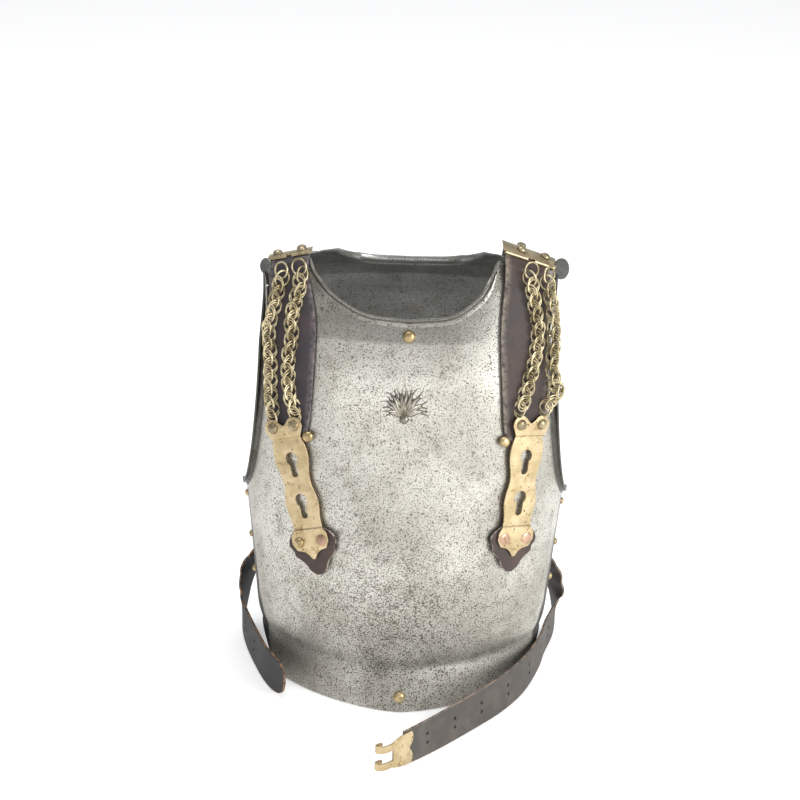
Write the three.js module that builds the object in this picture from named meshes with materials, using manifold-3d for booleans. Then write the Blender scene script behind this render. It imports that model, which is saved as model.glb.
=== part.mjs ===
// A cavalry cuirass: a steel breastplate and backplate that stand on their hems, with shoulder leathers
// carrying brass chains and keyhole clasps, and an open leather waist belt.
// Millimetres, +Z up. The breast faces -Y. Suffixes l and r are the left and right seen from the front.
import * as THREE from "three";
import { mergeVertices } from "three/addons/utils/BufferGeometryUtils.js";
import Module from "manifold-3d";

const wasm = await Module();
wasm.setup();

const RAD = Math.PI / 180;

// ---- driving dimensions ----
const BREAST_WALL = 2.8;
const BACK_WALL = 1.8;
const CREASE_Z = 44;              // waist crease at the centre line
const NOTCH_Z = 41;               // waist crease at the side edges
const ARM_CORNER_Z = 187;         // lower end of the armholes
const LIP = 8;                    // width of the flange turned out round neck and arms
const LIP_TURN = 48 * RAD;        // how far that flange turns out of the plate
const SHOULDER_IN = 93;           // inner and outer corner of each shoulder, from the centre line
const SHOULDER_OUT = 142;
const SIDE_LAP = 8;               // how far the backplate reaches inside the breastplate
const LAP_GAP = 6.2;              // from the breastplate's outer face to the backplate's
const CLEAR = 0.4;                // gap kept between pieces that touch
const LEATHER = 2.6;
const BRASS = 1.6;
const RIVET_R = 5.6;
const RIVET_H = 3.6;
const STRAP_WIDTH = 38;
const STRAP_WALL = 2.8;
const CHAIN_HALF_WIDTH = 7.2;
const CHAIN_HALF_DEPTH = 3.8;

// Cross-sections of the outer face, from the waist up. "full" is the exponent of the superellipse.
const BREAST_SECTIONS = [
  // z, half width, front y, side y, full
  [40, 144.5, -150, -41, 1.6],
  [70, 148, -151.5, -39, 1.72],
  [100, 151, -152, -36, 1.85],
  [150, 156, -150, -30, 1.98],
  [190, 160.5, -145.5, -25, 2.04],
  [250, 164, -135, -22, 2.1],
  [310, 163, -120, -20, 2.15],
  [370, 159, -99, -17, 2.2],
  [410, 155, -81, -14, 2.2],
  [445, 151, -62, -11, 2.2],
];
const BREAST_RIM = [0, 141, -160, -42, 1.57];

const BACK_SECTIONS = [
  // z, half width, back y, side y, full
  [40, 138.5, 100, -41 - SIDE_LAP, 1.9],
  [100, 151 - LAP_GAP, 108, -36 - SIDE_LAP, 1.95],
  [150, 156 - LAP_GAP, 116, -30 - SIDE_LAP, 2.0],
  [190, 160.5 - LAP_GAP, 122, -25 - SIDE_LAP, 2.05],
  [250, 160, 127, -27, 2.1],
  [310, 159, 121, -24, 2.2],
  [350, 157, 105, -20, 2.25],
  [380, 154, 84, -17, 2.3],
  [400, 151, 62, -15, 2.3],
  [414, 150, 38, -14, 2.3],
  [424, 149, 14, -13, 2.3],
  [430, 148.5, -2, -13, 2.3],
];
const BACK_RIM = [0, 138, 112, -38, 1.8];

// Upper outline of each half plate, measured in the front view.
const BREAST_NECK = [
  // x, z
  [0, 384], [40, 387], [64, 397.5], [81, 411], [89.5, 425], [SHOULDER_IN, 439],
];
const BREAST_SHOULDER = [[SHOULDER_IN, 439], [SHOULDER_OUT, 424]];
const BREAST_ARM = [
  [SHOULDER_OUT, 424], [138, 400], [137.5, 360], [139, 320], [142, 280], [146, 245], [152, 212],
  [160.2, ARM_CORNER_Z],
];
const BACK_NECK = [
  [0, 393], [38, 395], [60, 401], [75, 410], [85, 420], [SHOULDER_IN, 428],
];
const BACK_SHOULDER = [[SHOULDER_IN, 428], [SHOULDER_OUT, 413]];
const BACK_ARM = [
  [SHOULDER_OUT, 413], [138, 390], [136, 355], [137, 320], [140, 280], [144, 245], [149, 212],
  [160.2 - LAP_GAP, ARM_CORNER_Z],
];
const NECK_CELLS = 6;
const SHOULDER_CELLS = 3;
const ARM_CELLS = 7;
const BODY_ROWS = 10;
const HEM_ROWS = 2;
const LIP_ROWS = 2;
const HEM_END = 68 * RAD;         // the hem ends short of the side edges

// ---- curves and tables ----

/** A smooth curve through rows of numbers, at u from 0 to 1. */
function alongRows(rows, u) {
  const last = rows.length - 1;
  const at = Math.min(Math.max(u, 0), 1) * last;
  const i = Math.min(Math.floor(at), last - 1);
  return blendRows(rows, i, at - i);
}

/** Catmull-Rom between rows i and i + 1. */
function blendRows(rows, i, t) {
  const before = rows[Math.max(i - 1, 0)];
  const after = rows[Math.min(i + 2, rows.length - 1)];
  return rows[i].map((value, k) => {
    const next = rows[i + 1][k];
    const slopeIn = (next - before[k]) / 2;
    const slopeOut = (after[k] - value) / 2;
    const bend = (2 * t * t * t - 3 * t * t + 1) * value + (t * t * t - 2 * t * t + t) * slopeIn;
    return bend + (3 * t * t - 2 * t * t * t) * next + (t * t * t - t * t) * slopeOut;
  });
}

/** The section of a table at height z; its first column is z, rising. */
function sectionAt(sections, z) {
  const last = sections.length - 1;
  let i = 0;
  while (i < last - 1 && z > sections[i + 1][0]) i += 1;
  const t = (z - sections[i][0]) / (sections[i + 1][0] - sections[i][0]);
  if (t < 0 || t > 1) return sections[i].map((v, k) => v + (sections[i + 1][k] - v) * t);
  return blendRows(sections, i, t);
}

/** A point of a section's outline, at an angle round the body: 0 at the centre line, 90 degrees at the side. */
function sectionPoint([z, halfWidth, far, side, full], angle) {
  const across = Math.pow(Math.abs(Math.sin(angle)), 2 / full) * Math.sign(Math.sin(angle));
  const depth = Math.pow(Math.max(Math.cos(angle), 0), 2 / full);
  return new THREE.Vector3(halfWidth * across, side + (far - side) * depth, z);
}

/** The angle at which a section reaches x. */
function angleAt([, halfWidth, , , full], x) {
  return Math.asin(Math.min(Math.pow(Math.abs(x) / halfWidth, full / 2), 1)) * Math.sign(x || 1);
}

/** The point of the plate's outer face at x and z. */
function facePoint(sections, x, z) {
  const section = sectionAt(sections, z);
  return sectionPoint([z, ...section.slice(1)], angleAt(section, x));
}

/** The outward normal of the plate's outer face at a height and an angle round the body. */
function faceNormal(sections, z, angle) {
  const step = 0.5;
  const turn = 0.004;
  const at = (height, round) => sectionPoint([height, ...sectionAt(sections, height).slice(1)], round);
  const across = at(z, angle + turn).sub(at(z, angle - turn));
  const up = at(z + step, angle).sub(at(z - step, angle));
  return across.cross(up).normalize();
}

// ---- meshes ----

/** A closed mesh from shared vertices, turned to face outward. */
function closedMesh(points, faces) {
  const geometry = new THREE.BufferGeometry();
  geometry.setAttribute("position", new THREE.Float32BufferAttribute(points.flatMap((p) => p.toArray()), 3));
  geometry.setIndex(faces.flat());
  return facingOut(geometry);
}

function facingOut(geometry) {
  const index = geometry.index.array;
  const position = geometry.attributes.position;
  const [a, b, c] = [new THREE.Vector3(), new THREE.Vector3(), new THREE.Vector3()];
  let volume = 0;
  for (let i = 0; i < index.length; i += 3) {
    a.fromBufferAttribute(position, index[i]);
    b.fromBufferAttribute(position, index[i + 1]);
    c.fromBufferAttribute(position, index[i + 2]);
    volume += a.dot(b.cross(c));
  }
  if (volume < 0) {
    for (let i = 0; i < index.length; i += 3) [index[i], index[i + 1]] = [index[i + 1], index[i]];
  }
  return geometry;
}

function welded(geometry) {
  geometry.deleteAttribute("normal");
  geometry.deleteAttribute("uv");
  return mergeVertices(geometry, 1e-3);
}

/** A wall over a grid of outer points: outer face, inner face and the four edges. */
function shell(grid, wall) {
  const rows = grid.length;
  const columns = grid[0].length;
  const outer = grid.flat();
  const inner = outer.map((point, i) => {
    const normal = gridNormal(grid, Math.floor(i / columns), i % columns);
    if (point.z < 1e-6) normal.setZ(0).normalize();
    return point.clone().addScaledVector(normal, -wall);
  });
  const at = (r, c) => r * columns + c;
  const deep = rows * columns;
  const faces = [];
  const quad = (a, b, c, d) => faces.push([a, b, c], [a, c, d]);
  for (let r = 0; r < rows - 1; r += 1) {
    for (let c = 0; c < columns - 1; c += 1) {
      quad(at(r, c), at(r, c + 1), at(r + 1, c + 1), at(r + 1, c));
      quad(deep + at(r, c), deep + at(r + 1, c), deep + at(r + 1, c + 1), deep + at(r, c + 1));
    }
  }
  for (let c = 0; c < columns - 1; c += 1) {
    quad(at(0, c + 1), at(0, c), deep + at(0, c), deep + at(0, c + 1));
    quad(at(rows - 1, c), at(rows - 1, c + 1), deep + at(rows - 1, c + 1), deep + at(rows - 1, c));
  }
  for (let r = 0; r < rows - 1; r += 1) {
    quad(at(r, 0), at(r + 1, 0), deep + at(r + 1, 0), deep + at(r, 0));
    quad(at(r + 1, columns - 1), at(r, columns - 1), deep + at(r, columns - 1), deep + at(r + 1, columns - 1));
  }
  return closedMesh([...outer, ...inner], faces);
}

/** The normal of a grid at one of its points, from its neighbours. */
function gridNormal(grid, r, c) {
  const up = grid[Math.min(r + 1, grid.length - 1)][c].clone().sub(grid[Math.max(r - 1, 0)][c]);
  const right = grid[r][Math.min(c + 1, grid[0].length - 1)].clone().sub(grid[r][Math.max(c - 1, 0)]);
  return right.cross(up).normalize();
}

/** A closed body through rings of points that match one to one. */
function loft(rings) {
  const sides = rings[0].length;
  const points = rings.flat();
  const faces = [];
  for (let r = 0; r < rings.length - 1; r += 1) {
    for (let k = 0; k < sides; k += 1) {
      const next = (k + 1) % sides;
      const [a, b] = [r * sides + k, r * sides + next];
      faces.push([a, b, b + sides], [a, b + sides, a + sides]);
    }
  }
  const top = (rings.length - 1) * sides;
  for (let k = 1; k < sides - 1; k += 1) faces.push([0, k + 1, k], [top, top + k, top + k + 1]);
  return closedMesh(points, faces);
}

function solid(geometry) {
  const clean = geometry.index ? geometry : welded(geometry);
  const vertProperties = new Float32Array(clean.attributes.position.array);
  const triVerts = new Uint32Array(clean.index.array);
  return new wasm.Manifold(new wasm.Mesh({ numProp: 3, vertProperties, triVerts }));
}

function meshOf(manifold) {
  const { vertProperties, triVerts } = manifold.getMesh();
  const geometry = new THREE.BufferGeometry();
  geometry.setAttribute("position", new THREE.BufferAttribute(vertProperties, 3));
  geometry.setIndex(new THREE.BufferAttribute(triVerts, 1));
  return geometry;
}

const COLOURS = {
  // colour, roughness, metalness
  steel: [0xb9b8b2, 0.38, 0.9],
  backSteel: [0x8f918e, 0.45, 0.9],
  brass: [0xa8884a, 0.42, 0.9],
  copper: [0xa06a4c, 0.5, 0.8],
  leather: [0x3a2b28, 0.7, 0],
  blackLeather: [0x262321, 0.65, 0],
  iron: [0x5a5a5c, 0.5, 0.8],
};

const SIGN = { l: -1, r: 1 };

const cuirass = new THREE.Group();

function addPiece(name, geometry, finish) {
  const [color, roughness, metalness] = COLOURS[finish];
  const mesh = new THREE.Mesh(geometry, new THREE.MeshStandardMaterial({ color, roughness, metalness }));
  mesh.name = name;
  cuirass.add(mesh);
  return mesh;
}

// ---- the two plates ----

/** The upper outline of half a plate: rows of x, z and the width of the turned-out lip. */
function upperOutline(neck, shoulder, arm, cornerLip) {
  const outline = [];
  const part = (rows, cells, lipAt) => {
    for (let i = 0; i < cells; i += 1) outline.push([...alongRows(rows, i / cells), lipAt(i / cells)]);
  };
  part(neck, NECK_CELLS, (u) => LIP * Math.min(1, (1 - u) * 3));
  part(shoulder, SHOULDER_CELLS, () => 0.6);
  part(arm, ARM_CELLS, (u) => LIP * Math.min(1, 0.1 + u * 3) * (1 + (cornerLip - 1) * u * u));
  outline.push([...arm[arm.length - 1], LIP * cornerLip]);
  return outline;
}

/** Rows of points over a whole plate, from its rim up to the edge of its lip. */
function plateGrid(sections, rim, outline) {
  const half = outline.length - 1;
  const grid = [];
  const row = (pointAt) => {
    const points = [];
    for (let c = -half; c <= half; c += 1) points.push(pointAt(Math.abs(c) / half, Math.sign(c), Math.abs(c)));
    grid.push(points);
  };
  const mirrored = (point, sign) => (sign < 0 ? point.setX(-point.x) : point);
  const creasePoint = (u) => {
    const z = CREASE_Z + (NOTCH_Z - CREASE_Z) * u * u;
    return sectionPoint([z, ...sectionAt(sections, z).slice(1)], u * Math.PI / 2);
  };
  for (let r = 0; r < HEM_ROWS; r += 1) {
    row((u, sign) => {
      const foot = sectionPoint(rim, u * HEM_END);
      return mirrored(foot.lerp(creasePoint(u), r / HEM_ROWS), sign);
    });
  }
  for (let r = 0; r <= BODY_ROWS; r += 1) {
    const rise = 1 - Math.pow(1 - r / BODY_ROWS, 1.35);
    row((u, sign, column) => mirrored(bodyPoint(sections, outline[column], u, rise, creasePoint(u)), sign));
  }
  addLip(grid, outline, sections === BREAST_SECTIONS ? 1 : -1);
  return grid;
}

function bodyPoint(sections, [topX, topZ], u, rise, crease) {
  if (rise === 0) return crease;
  const topAngle = angleAt(sectionAt(sections, topZ), topX);
  const z = crease.z + (topZ - crease.z) * rise;
  const angle = u * Math.PI / 2 * (1 - rise) + topAngle * rise;
  return sectionPoint([z, ...sectionAt(sections, z).slice(1)], angle);
}

/** The lip turned out along the upper outline. */
function addLip(grid, outline, facing) {
  const top = grid.length - 1;
  const half = outline.length - 1;
  const base = grid[top];
  const lips = Array.from({ length: LIP_ROWS }, () => []);
  base.forEach((point, c) => {
    const normal = gridNormal(grid, top, c).multiplyScalar(facing);
    const along = base[Math.min(c + 1, base.length - 1)].clone().sub(base[Math.max(c - 1, 0)]).normalize();
    const out = normal.clone().cross(along).normalize().multiplyScalar(facing);
    const width = outline[Math.abs(c - half)][2];
    lips.forEach((lip, k) => {
      const reach = width * (k + 1) / LIP_ROWS;
      const turn = LIP_TURN * (k + 1) / LIP_ROWS;
      lip.push(point.clone().addScaledVector(out, reach * Math.cos(turn)).addScaledVector(normal, reach * Math.sin(turn)));
    });
  });
  grid.push(...lips);
}

function breastplate() {
  const outline = upperOutline(BREAST_NECK, BREAST_SHOULDER, BREAST_ARM, 0.7);
  return shell(plateGrid(BREAST_SECTIONS, BREAST_RIM, outline), BREAST_WALL);
}

function backplate() {
  const outline = upperOutline(BACK_NECK, BACK_SHOULDER, BACK_ARM, 0);
  return shell(plateGrid(BACK_SECTIONS, BACK_RIM, outline), -BACK_WALL);
}

addPiece("breastplate", breastplate(), "steel");
addPiece("backplate", backplate(), "backSteel");

// ---- places on the breastplate ----

/** A frame with its outward axis off the plate and its up axis towards a direction. */
function frameOf(origin, outward, towards) {
  const up = towards.clone().addScaledVector(outward, -towards.dot(outward)).normalize();
  return { origin, outward, up, right: up.clone().cross(outward) };
}

/** A frame on the breastplate at x and z, upright. */
function breastFrame(x, z, towards = new THREE.Vector3(0, 0, 1)) {
  const angle = angleAt(sectionAt(BREAST_SECTIONS, z), x);
  return frameOf(facePoint(BREAST_SECTIONS, x, z), faceNormal(BREAST_SECTIONS, z, angle), towards);
}

/** The point at u, v in a frame, brought down onto the breastplate and lifted off it again. */
function onBreast(frame, u, v, lift) {
  const point = frame.origin.clone().addScaledVector(frame.right, u).addScaledVector(frame.up, v);
  for (let i = 0; i < 4; i += 1) {
    const normal = faceNormal(BREAST_SECTIONS, point.z, angleAt(sectionAt(BREAST_SECTIONS, point.z), point.x));
    const gap = point.y - facePoint(BREAST_SECTIONS, point.x, point.z).y;
    point.addScaledVector(frame.outward, -gap * normal.y / frame.outward.dot(normal));
  }
  return point.addScaledVector(frame.outward, lift);
}

/** Lays a geometry made flat in x, y with its thickness in z on the breastplate. */
function draped(geometry, frame, lift) {
  const position = geometry.attributes.position;
  for (let i = 0; i < position.count; i += 1) {
    const point = onBreast(frame, position.getX(i), position.getY(i), lift + position.getZ(i));
    position.setXYZ(i, point.x, point.y, point.z);
  }
  return geometry;
}

/** Stands a geometry made round the z axis on a frame. */
function stoodOn(geometry, frame, lift) {
  const basis = new THREE.Matrix4().makeBasis(frame.right, frame.up, frame.outward);
  basis.setPosition(frame.origin.clone().addScaledVector(frame.outward, lift));
  return geometry.applyMatrix4(basis);
}

// ---- rivets and studs ----

const DOME = [[0, 0], [1, 0], [0.82, 0.55], [0.45, 0.9], [0, 1]];
const FLAT_HEAD = [[0, 0], [1, 0], [1, 0.6], [0.8, 1], [0, 1]];
const STUD = [[0, 0], [0.5, 0], [0.5, 0.45], [1, 0.5], [0.9, 0.75], [0.5, 0.95], [0, 1]];
const RIVET_SIDES = 8;

/** A turned head on the z axis; the profile's columns are radius and height, from 0 to 1. */
function turned(profile, radius, height) {
  const points = profile.map(([r, h]) => new THREE.Vector2(r * radius, h * height));
  return facingOut(welded(new THREE.LatheGeometry(points, RIVET_SIDES).rotateX(90 * RAD)));
}

function sideFrame(sign, z) {
  const inset = 7;
  const section = sectionAt(BREAST_SECTIONS, z);
  const [, , front, side, full] = section;
  const angle = sign * Math.acos(Math.pow(inset / (side - front), full / 2));
  const origin = sectionPoint([z, ...section.slice(1)], angle);
  return frameOf(origin, faceNormal(BREAST_SECTIONS, z, angle), new THREE.Vector3(0, 0, 1));
}

const SIDE_RIVET_Z = [179, 136, 99];
const NECK_RIVET_Z = 376;
const HEM_RIVET_Z = 15;
const STUD_PLACE = { x: 94, z: 276 };

const hemSlope = (BREAST_SECTIONS[0][2] - BREAST_RIM[2]) / CREASE_Z;
const hemFrame = frameOf(
  new THREE.Vector3(0, BREAST_RIM[2] + HEM_RIVET_Z * hemSlope, HEM_RIVET_Z),
  new THREE.Vector3(0, -1, hemSlope).normalize(), new THREE.Vector3(0, 0, 1));

addPiece("neck_rivet", stoodOn(turned(DOME, 6.2, 4), breastFrame(0, NECK_RIVET_Z), CLEAR), "brass");
addPiece("hem_rivet", stoodOn(turned(DOME, 6, 4), hemFrame, CLEAR), "brass");
for (const [side, sign] of [["l", -1], ["r", 1]]) {
  SIDE_RIVET_Z.forEach((z, i) => {
    addPiece(`side_rivet_${side}${i + 1}`, stoodOn(turned(DOME, 3.6, 2.4), sideFrame(sign, z), CLEAR), "brass");
  });
  const studFrame = breastFrame(sign * STUD_PLACE.x, STUD_PLACE.z);
  addPiece(`keyhole_stud_${side}`, stoodOn(turned(STUD, 5.4, 8.4), studFrame, CLEAR), "brass");
}

// ---- badge: a flaming grenade in relief ----

const BADGE_Z = 304;
const BALL_R = 4.6;
const FLAMES = [
  // tip x, tip y, bow, half width, height
  [-20.5, 3.5, 3, 2.6, 2.2], [-23.5, 10.5, 3, 2.6, 2.4], [-22.5, 17, 2.5, 2.7, 2.6], [-18.5, 26.5, -2.5, 2.8, 2.8],
  [-12.5, 27, 2.5, 2.6, 3], [-5.8, 31.5, -2.5, 2.9, 3], [1.3, 38.5, 2.5, 3, 3.2], [6.8, 31.5, -2, 2.6, 3],
  [13, 28.5, 2.5, 2.6, 2.9], [18.2, 26.5, -2.5, 2.6, 2.8], [19.5, 19.5, 2.5, 2.6, 2.7],
  [22, 13.6, -2.5, 2.6, 2.5], [23.8, 8.6, -2.5, 2.5, 2.4], [23.8, 2.5, -3, 2.4, 2.2], [-12, 15, 2, 2.6, 3.3],
  [-4.5, 20, -2, 2.7, 3.5], [3.5, 22, 2, 2.7, 3.5], [10, 16, -2, 2.6, 3.3],
];
const FLAME_STEPS = 5;

/** One flame: a bent, pointed ridge that rises from the ball. */
function flame([tipX, tipY, bow, halfWidth, height]) {
  const root = new THREE.Vector2(tipX * 0.08, 1.2);
  const run = new THREE.Vector2(tipX, tipY).sub(root);
  const side = new THREE.Vector2(-run.y, run.x).normalize();
  const rings = [];
  for (let i = 0; i <= FLAME_STEPS; i += 1) {
    const t = i / FLAME_STEPS;
    const middle = root.clone().addScaledVector(run, t).addScaledVector(side, bow * Math.sin(t * Math.PI * 1.5) * t);
    const width = halfWidth * (0.35 + Math.sin(Math.PI * Math.min(t * 1.2, 1)) * 0.65) * (1 - t) + 0.25;
    const left = middle.clone().addScaledVector(side, width);
    const right = middle.clone().addScaledVector(side, -width);
    const crest = height * (1 - 0.75 * t * t);
    rings.push([
      new THREE.Vector3(left.x, left.y, 0), new THREE.Vector3(right.x, right.y, 0),
      new THREE.Vector3(middle.x, middle.y, crest),
    ]);
  }
  return solid(loft(rings));
}

function badge() {
  let relief = solid(turned(DOME, BALL_R, 4.2));
  for (const row of FLAMES) relief = relief.add(flame(row));
  return draped(meshOf(relief), breastFrame(0, BADGE_Z), CLEAR);
}

addPiece("grenade_badge", badge(), "steel");

// ---- keyhole clasps and pull tabs ----

const CLASPS = {
  // top and foot of each clasp on the plate
  l: { top: [-118, 284], foot: [-86.5, 156] },
  r: { top: [119, 294], foot: [105.5, 158] },
};
const CLASP_LENGTH = 134;
const LOBE = { x: 12.4, drop: 1.5, radius: 9 };
const CLASP_BODY = [
  // half width, distance down from the notch between the lobes
  [16.4, 14], [18.8, 23], [19.4, 34], [17.6, 44], [15.7, 53], [15.7, 62], [18.3, 74], [18.7, 84], [16.6, 95],
  [16.6, 105],
];
const CLASP_TAIL = [[20.8, 112], [21, 119], [17, 126], [9, 128], [5, 131], [1.5, 136]];
const TAB_OUTLINE = [
  [15, 106], [22, 110], [26.5, 116], [27, 122], [23.5, 127], [23, 132], [16, 138], [12, 143], [9.5, 148], [3, 153],
];
const KEYHOLES = [34.5, 76.5];
const KEYHOLE = { head: 5.9, slot: 2.8, drop: 14 };
const TAIL_RIVET = { x: 13.2, drop: 118 };

/** A closed outline from the right-hand side's rows of half width and distance down. */
function mirroredShape(rows) {
  const right = rows.map(([x, down]) => new THREE.Vector2(x, -down));
  const left = rows.map(([x, down]) => new THREE.Vector2(-x, -down)).reverse();
  return new THREE.Shape([...right, ...left]);
}

function keyhole(down) {
  const neck = Math.asin(KEYHOLE.slot / KEYHOLE.head);
  const hole = new THREE.Path();
  hole.absarc(0, -down, KEYHOLE.head, -90 * RAD + neck, 270 * RAD - neck, false);
  hole.absarc(0, -down - KEYHOLE.drop, KEYHOLE.slot, 180 * RAD, 360 * RAD, false);
  return hole;
}

function claspShape() {
  const rows = [[1, 0]];
  for (const angle of [150, 110, 70, 30, -10]) {
    rows.push([LOBE.x + LOBE.radius * Math.cos(angle * RAD), LOBE.drop - LOBE.radius * Math.sin(angle * RAD)]);
  }
  const shape = mirroredShape([...rows, ...CLASP_BODY, ...CLASP_TAIL]);
  shape.holes = KEYHOLES.map(keyhole);
  return shape;
}

function flatPiece(shape, depth) {
  return welded(new THREE.ExtrudeGeometry(shape, { depth, bevelEnabled: false, curveSegments: 4 }));
}

/** The frame of a clasp: its origin is the notch, its up axis runs from foot to top. */
function claspFrame({ top, foot }) {
  const high = facePoint(BREAST_SECTIONS, ...top);
  const low = facePoint(BREAST_SECTIONS, ...foot);
  const middle = breastFrame((top[0] + foot[0]) / 2, (top[1] + foot[1]) / 2, high.sub(low));
  middle.origin.addScaledVector(middle.up, CLASP_LENGTH / 2);
  return middle;
}

/** The same frame moved across, up and off its face. */
function shifted(frame, across, up, lift) {
  const origin = frame.origin.clone().addScaledVector(frame.right, across).addScaledVector(frame.up, up);
  return { ...frame, origin: origin.addScaledVector(frame.outward, lift) };
}

const CLASP_LIFT = LEATHER + 2 * CLEAR;
for (const side of ["l", "r"]) {
  const frame = claspFrame(CLASPS[side]);
  addPiece(`keyhole_clasp_${side}`, stoodOn(flatPiece(claspShape(), BRASS), frame, CLASP_LIFT), "brass");
  addPiece(`pull_tab_${side}`, stoodOn(flatPiece(mirroredShape(TAB_OUTLINE), LEATHER), frame, CLEAR), "leather");
  const top = CLASP_LIFT + BRASS + CLEAR;
  [["outer", side === "l" ? -1 : 1], ["inner", side === "l" ? 1 : -1]].forEach(([place, sign]) => {
    const lobe = shifted(frame, sign * LOBE.x, -LOBE.drop, top);
    addPiece(`lobe_rivet_${side}_${place}`, stoodOn(turned(DOME, RIVET_R, RIVET_H), lobe, 0), "brass");
    const tail = shifted(frame, sign * TAIL_RIVET.x, -TAIL_RIVET.drop, top);
    const domed = side === "l" && place === "outer";
    const head = domed ? turned(DOME, RIVET_R, RIVET_H) : turned(FLAT_HEAD, 5.2, 1.2);
    addPiece(`tail_rivet_${side}_${place}`, stoodOn(head, tail, 0), domed ? "brass" : "copper");
  });
}

// ---- shoulder leathers, anchor plates and discs ----

const LEATHER_EDGES = [
  // z, inner x, outer x
  [273, 104, 128], [278, 98, 132], [288, 94, 135], [330, 91, 134.5], [375, 89, 133.5], [403, 91, 135],
  [424, 94.5, 135],
];
const LEATHER_LIFT = 2;         // the leathers lie a little off the plate
const CROWN = [
  // y, z, and how far y moves back for each millimetre out from the inner edge
  [-63, 439.5, 0.27], [-47, 447.3, 0.3], [-28, 447.3, 0.28], [-12, 442.5, 0.22], [6, 434.5, 0.12], [24, 424, -0.05],
  [42, 413, -0.2], [57, 400.5, -0.42],
];
const CROWN_FALL = 0.31;          // how far the shoulder falls for each millimetre outward
const CROWN_SAG = { l: 6, r: 0 }; // the left strap has settled lower
const LEATHER_ROWS = 8;
const LEATHER_COLUMNS = 4;
const CROWN_ROWS = 8;

/** A point over a shoulder: s runs from front to back, x outward from the centre line. */
function crownPoint(side, x, s) {
  const [y, z, shift] = alongRows(CROWN, s);
  const out = x - SHOULDER_IN;
  const sag = CROWN_SAG[side] * Math.sin(Math.PI * Math.min(s * 1.6, 1));
  return new THREE.Vector3(SIGN[side] * x, y + shift * out, z - CROWN_FALL * out - sag);
}

function frontPoint(x, z, lift) {
  const frame = breastFrame(x, z);
  return frame.origin.addScaledVector(frame.outward, lift);
}

/** A row of points from the inner to the outer edge, turned so that the grid faces outward. */
function rowAcross(side, inner, outer, columns, pointAt) {
  const row = [];
  for (let c = 0; c <= columns; c += 1) row.push(pointAt(inner + (outer - inner) * c / columns));
  return side === "l" ? row.reverse() : row;
}

/** The rows of a leather's lower face, from its front end over the shoulder to the back. */
function leatherGrid(side) {
  const grid = [];
  for (let r = 0; r <= LEATHER_ROWS; r += 1) {
    const [z, inner, outer] = alongRows(LEATHER_EDGES, r / LEATHER_ROWS);
    const fall = 0.1 * r / LEATHER_ROWS;
    grid.push(rowAcross(side, inner, outer, LEATHER_COLUMNS, (x) => frontPoint(SIGN[side] * x, z - fall * (x - inner), LEATHER_LIFT)));
  }
  const [, inner, outer] = LEATHER_EDGES[LEATHER_EDGES.length - 1];
  for (let r = 0; r <= CROWN_ROWS; r += 1) {
    grid.push(rowAcross(side, inner, outer, LEATHER_COLUMNS, (x) => crownPoint(side, x, r / CROWN_ROWS)));
  }
  return grid;
}

const ANCHOR = { from: 0.13, to: 0.42, inner: 90, outer: 141, columns: 3, rows: 3 };

/** The brass plate that lies across the top of a shoulder leather. */
function anchorGrid(side) {
  const grid = [];
  for (let r = 0; r <= ANCHOR.rows; r += 1) {
    const s = ANCHOR.from + (ANCHOR.to - ANCHOR.from) * r / ANCHOR.rows;
    grid.push(rowAcross(side, ANCHOR.inner, ANCHOR.outer, ANCHOR.columns, (x) => crownPoint(side, x, s)));
  }
  return grid;
}

/** A grid moved outward along its own normals. */
function raised(grid, lift) {
  return grid.map((row, r) => row.map((point, c) => point.clone().addScaledVector(gridNormal(grid, r, c), lift)));
}

/** A frame on a shoulder's crown, lifted off it. */
function crownFrame(side, x, s, lift) {
  const step = 0.02;
  const along = crownPoint(side, x, s + step).sub(crownPoint(side, x, s - step));
  const across = crownPoint(side, x + 1, s).sub(crownPoint(side, x - 1, s));
  const outward = across.cross(along).multiplyScalar(SIGN[side]).normalize();
  return frameOf(crownPoint(side, x, s).addScaledVector(outward, lift), outward, along);
}

const ANCHOR_RIVETS = [
  // x, place from front to back
  [106, 0.2], [107, 0.35], [130, 0.22],
];
const DISC = {
  l: { middle: [-146, -30, 419], radius: 8 },
  r: { middle: [150, -28, 425], radius: 10 },
};
const DISC_WALL = 2.2;
const PLATE_TOP = LEATHER + CLEAR + BRASS;

for (const side of ["l", "r"]) {
  addPiece(`shoulder_leather_${side}`, shell(raised(leatherGrid(side), LEATHER), LEATHER), "leather");
  addPiece(`anchor_plate_${side}`, shell(raised(anchorGrid(side), PLATE_TOP), BRASS), "brass");
  ANCHOR_RIVETS.forEach(([x, s], i) => {
    const frame = crownFrame(side, x, s, PLATE_TOP + CLEAR);
    addPiece(`anchor_rivet_${side}${i + 1}`, stoodOn(turned(DOME, 5, RIVET_H), frame, 0), "brass");
  });
  const facing = new THREE.Vector3(SIGN[side] * 0.8, -0.55, 0.2).normalize();
  const discFrame = frameOf(new THREE.Vector3(...DISC[side].middle), facing, new THREE.Vector3(0, 0, 1));
  addPiece(`shoulder_disc_${side}`, stoodOn(turned(FLAT_HEAD, DISC[side].radius, DISC_WALL), discFrame, 0), "iron");
}

// ---- chains ----

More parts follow.
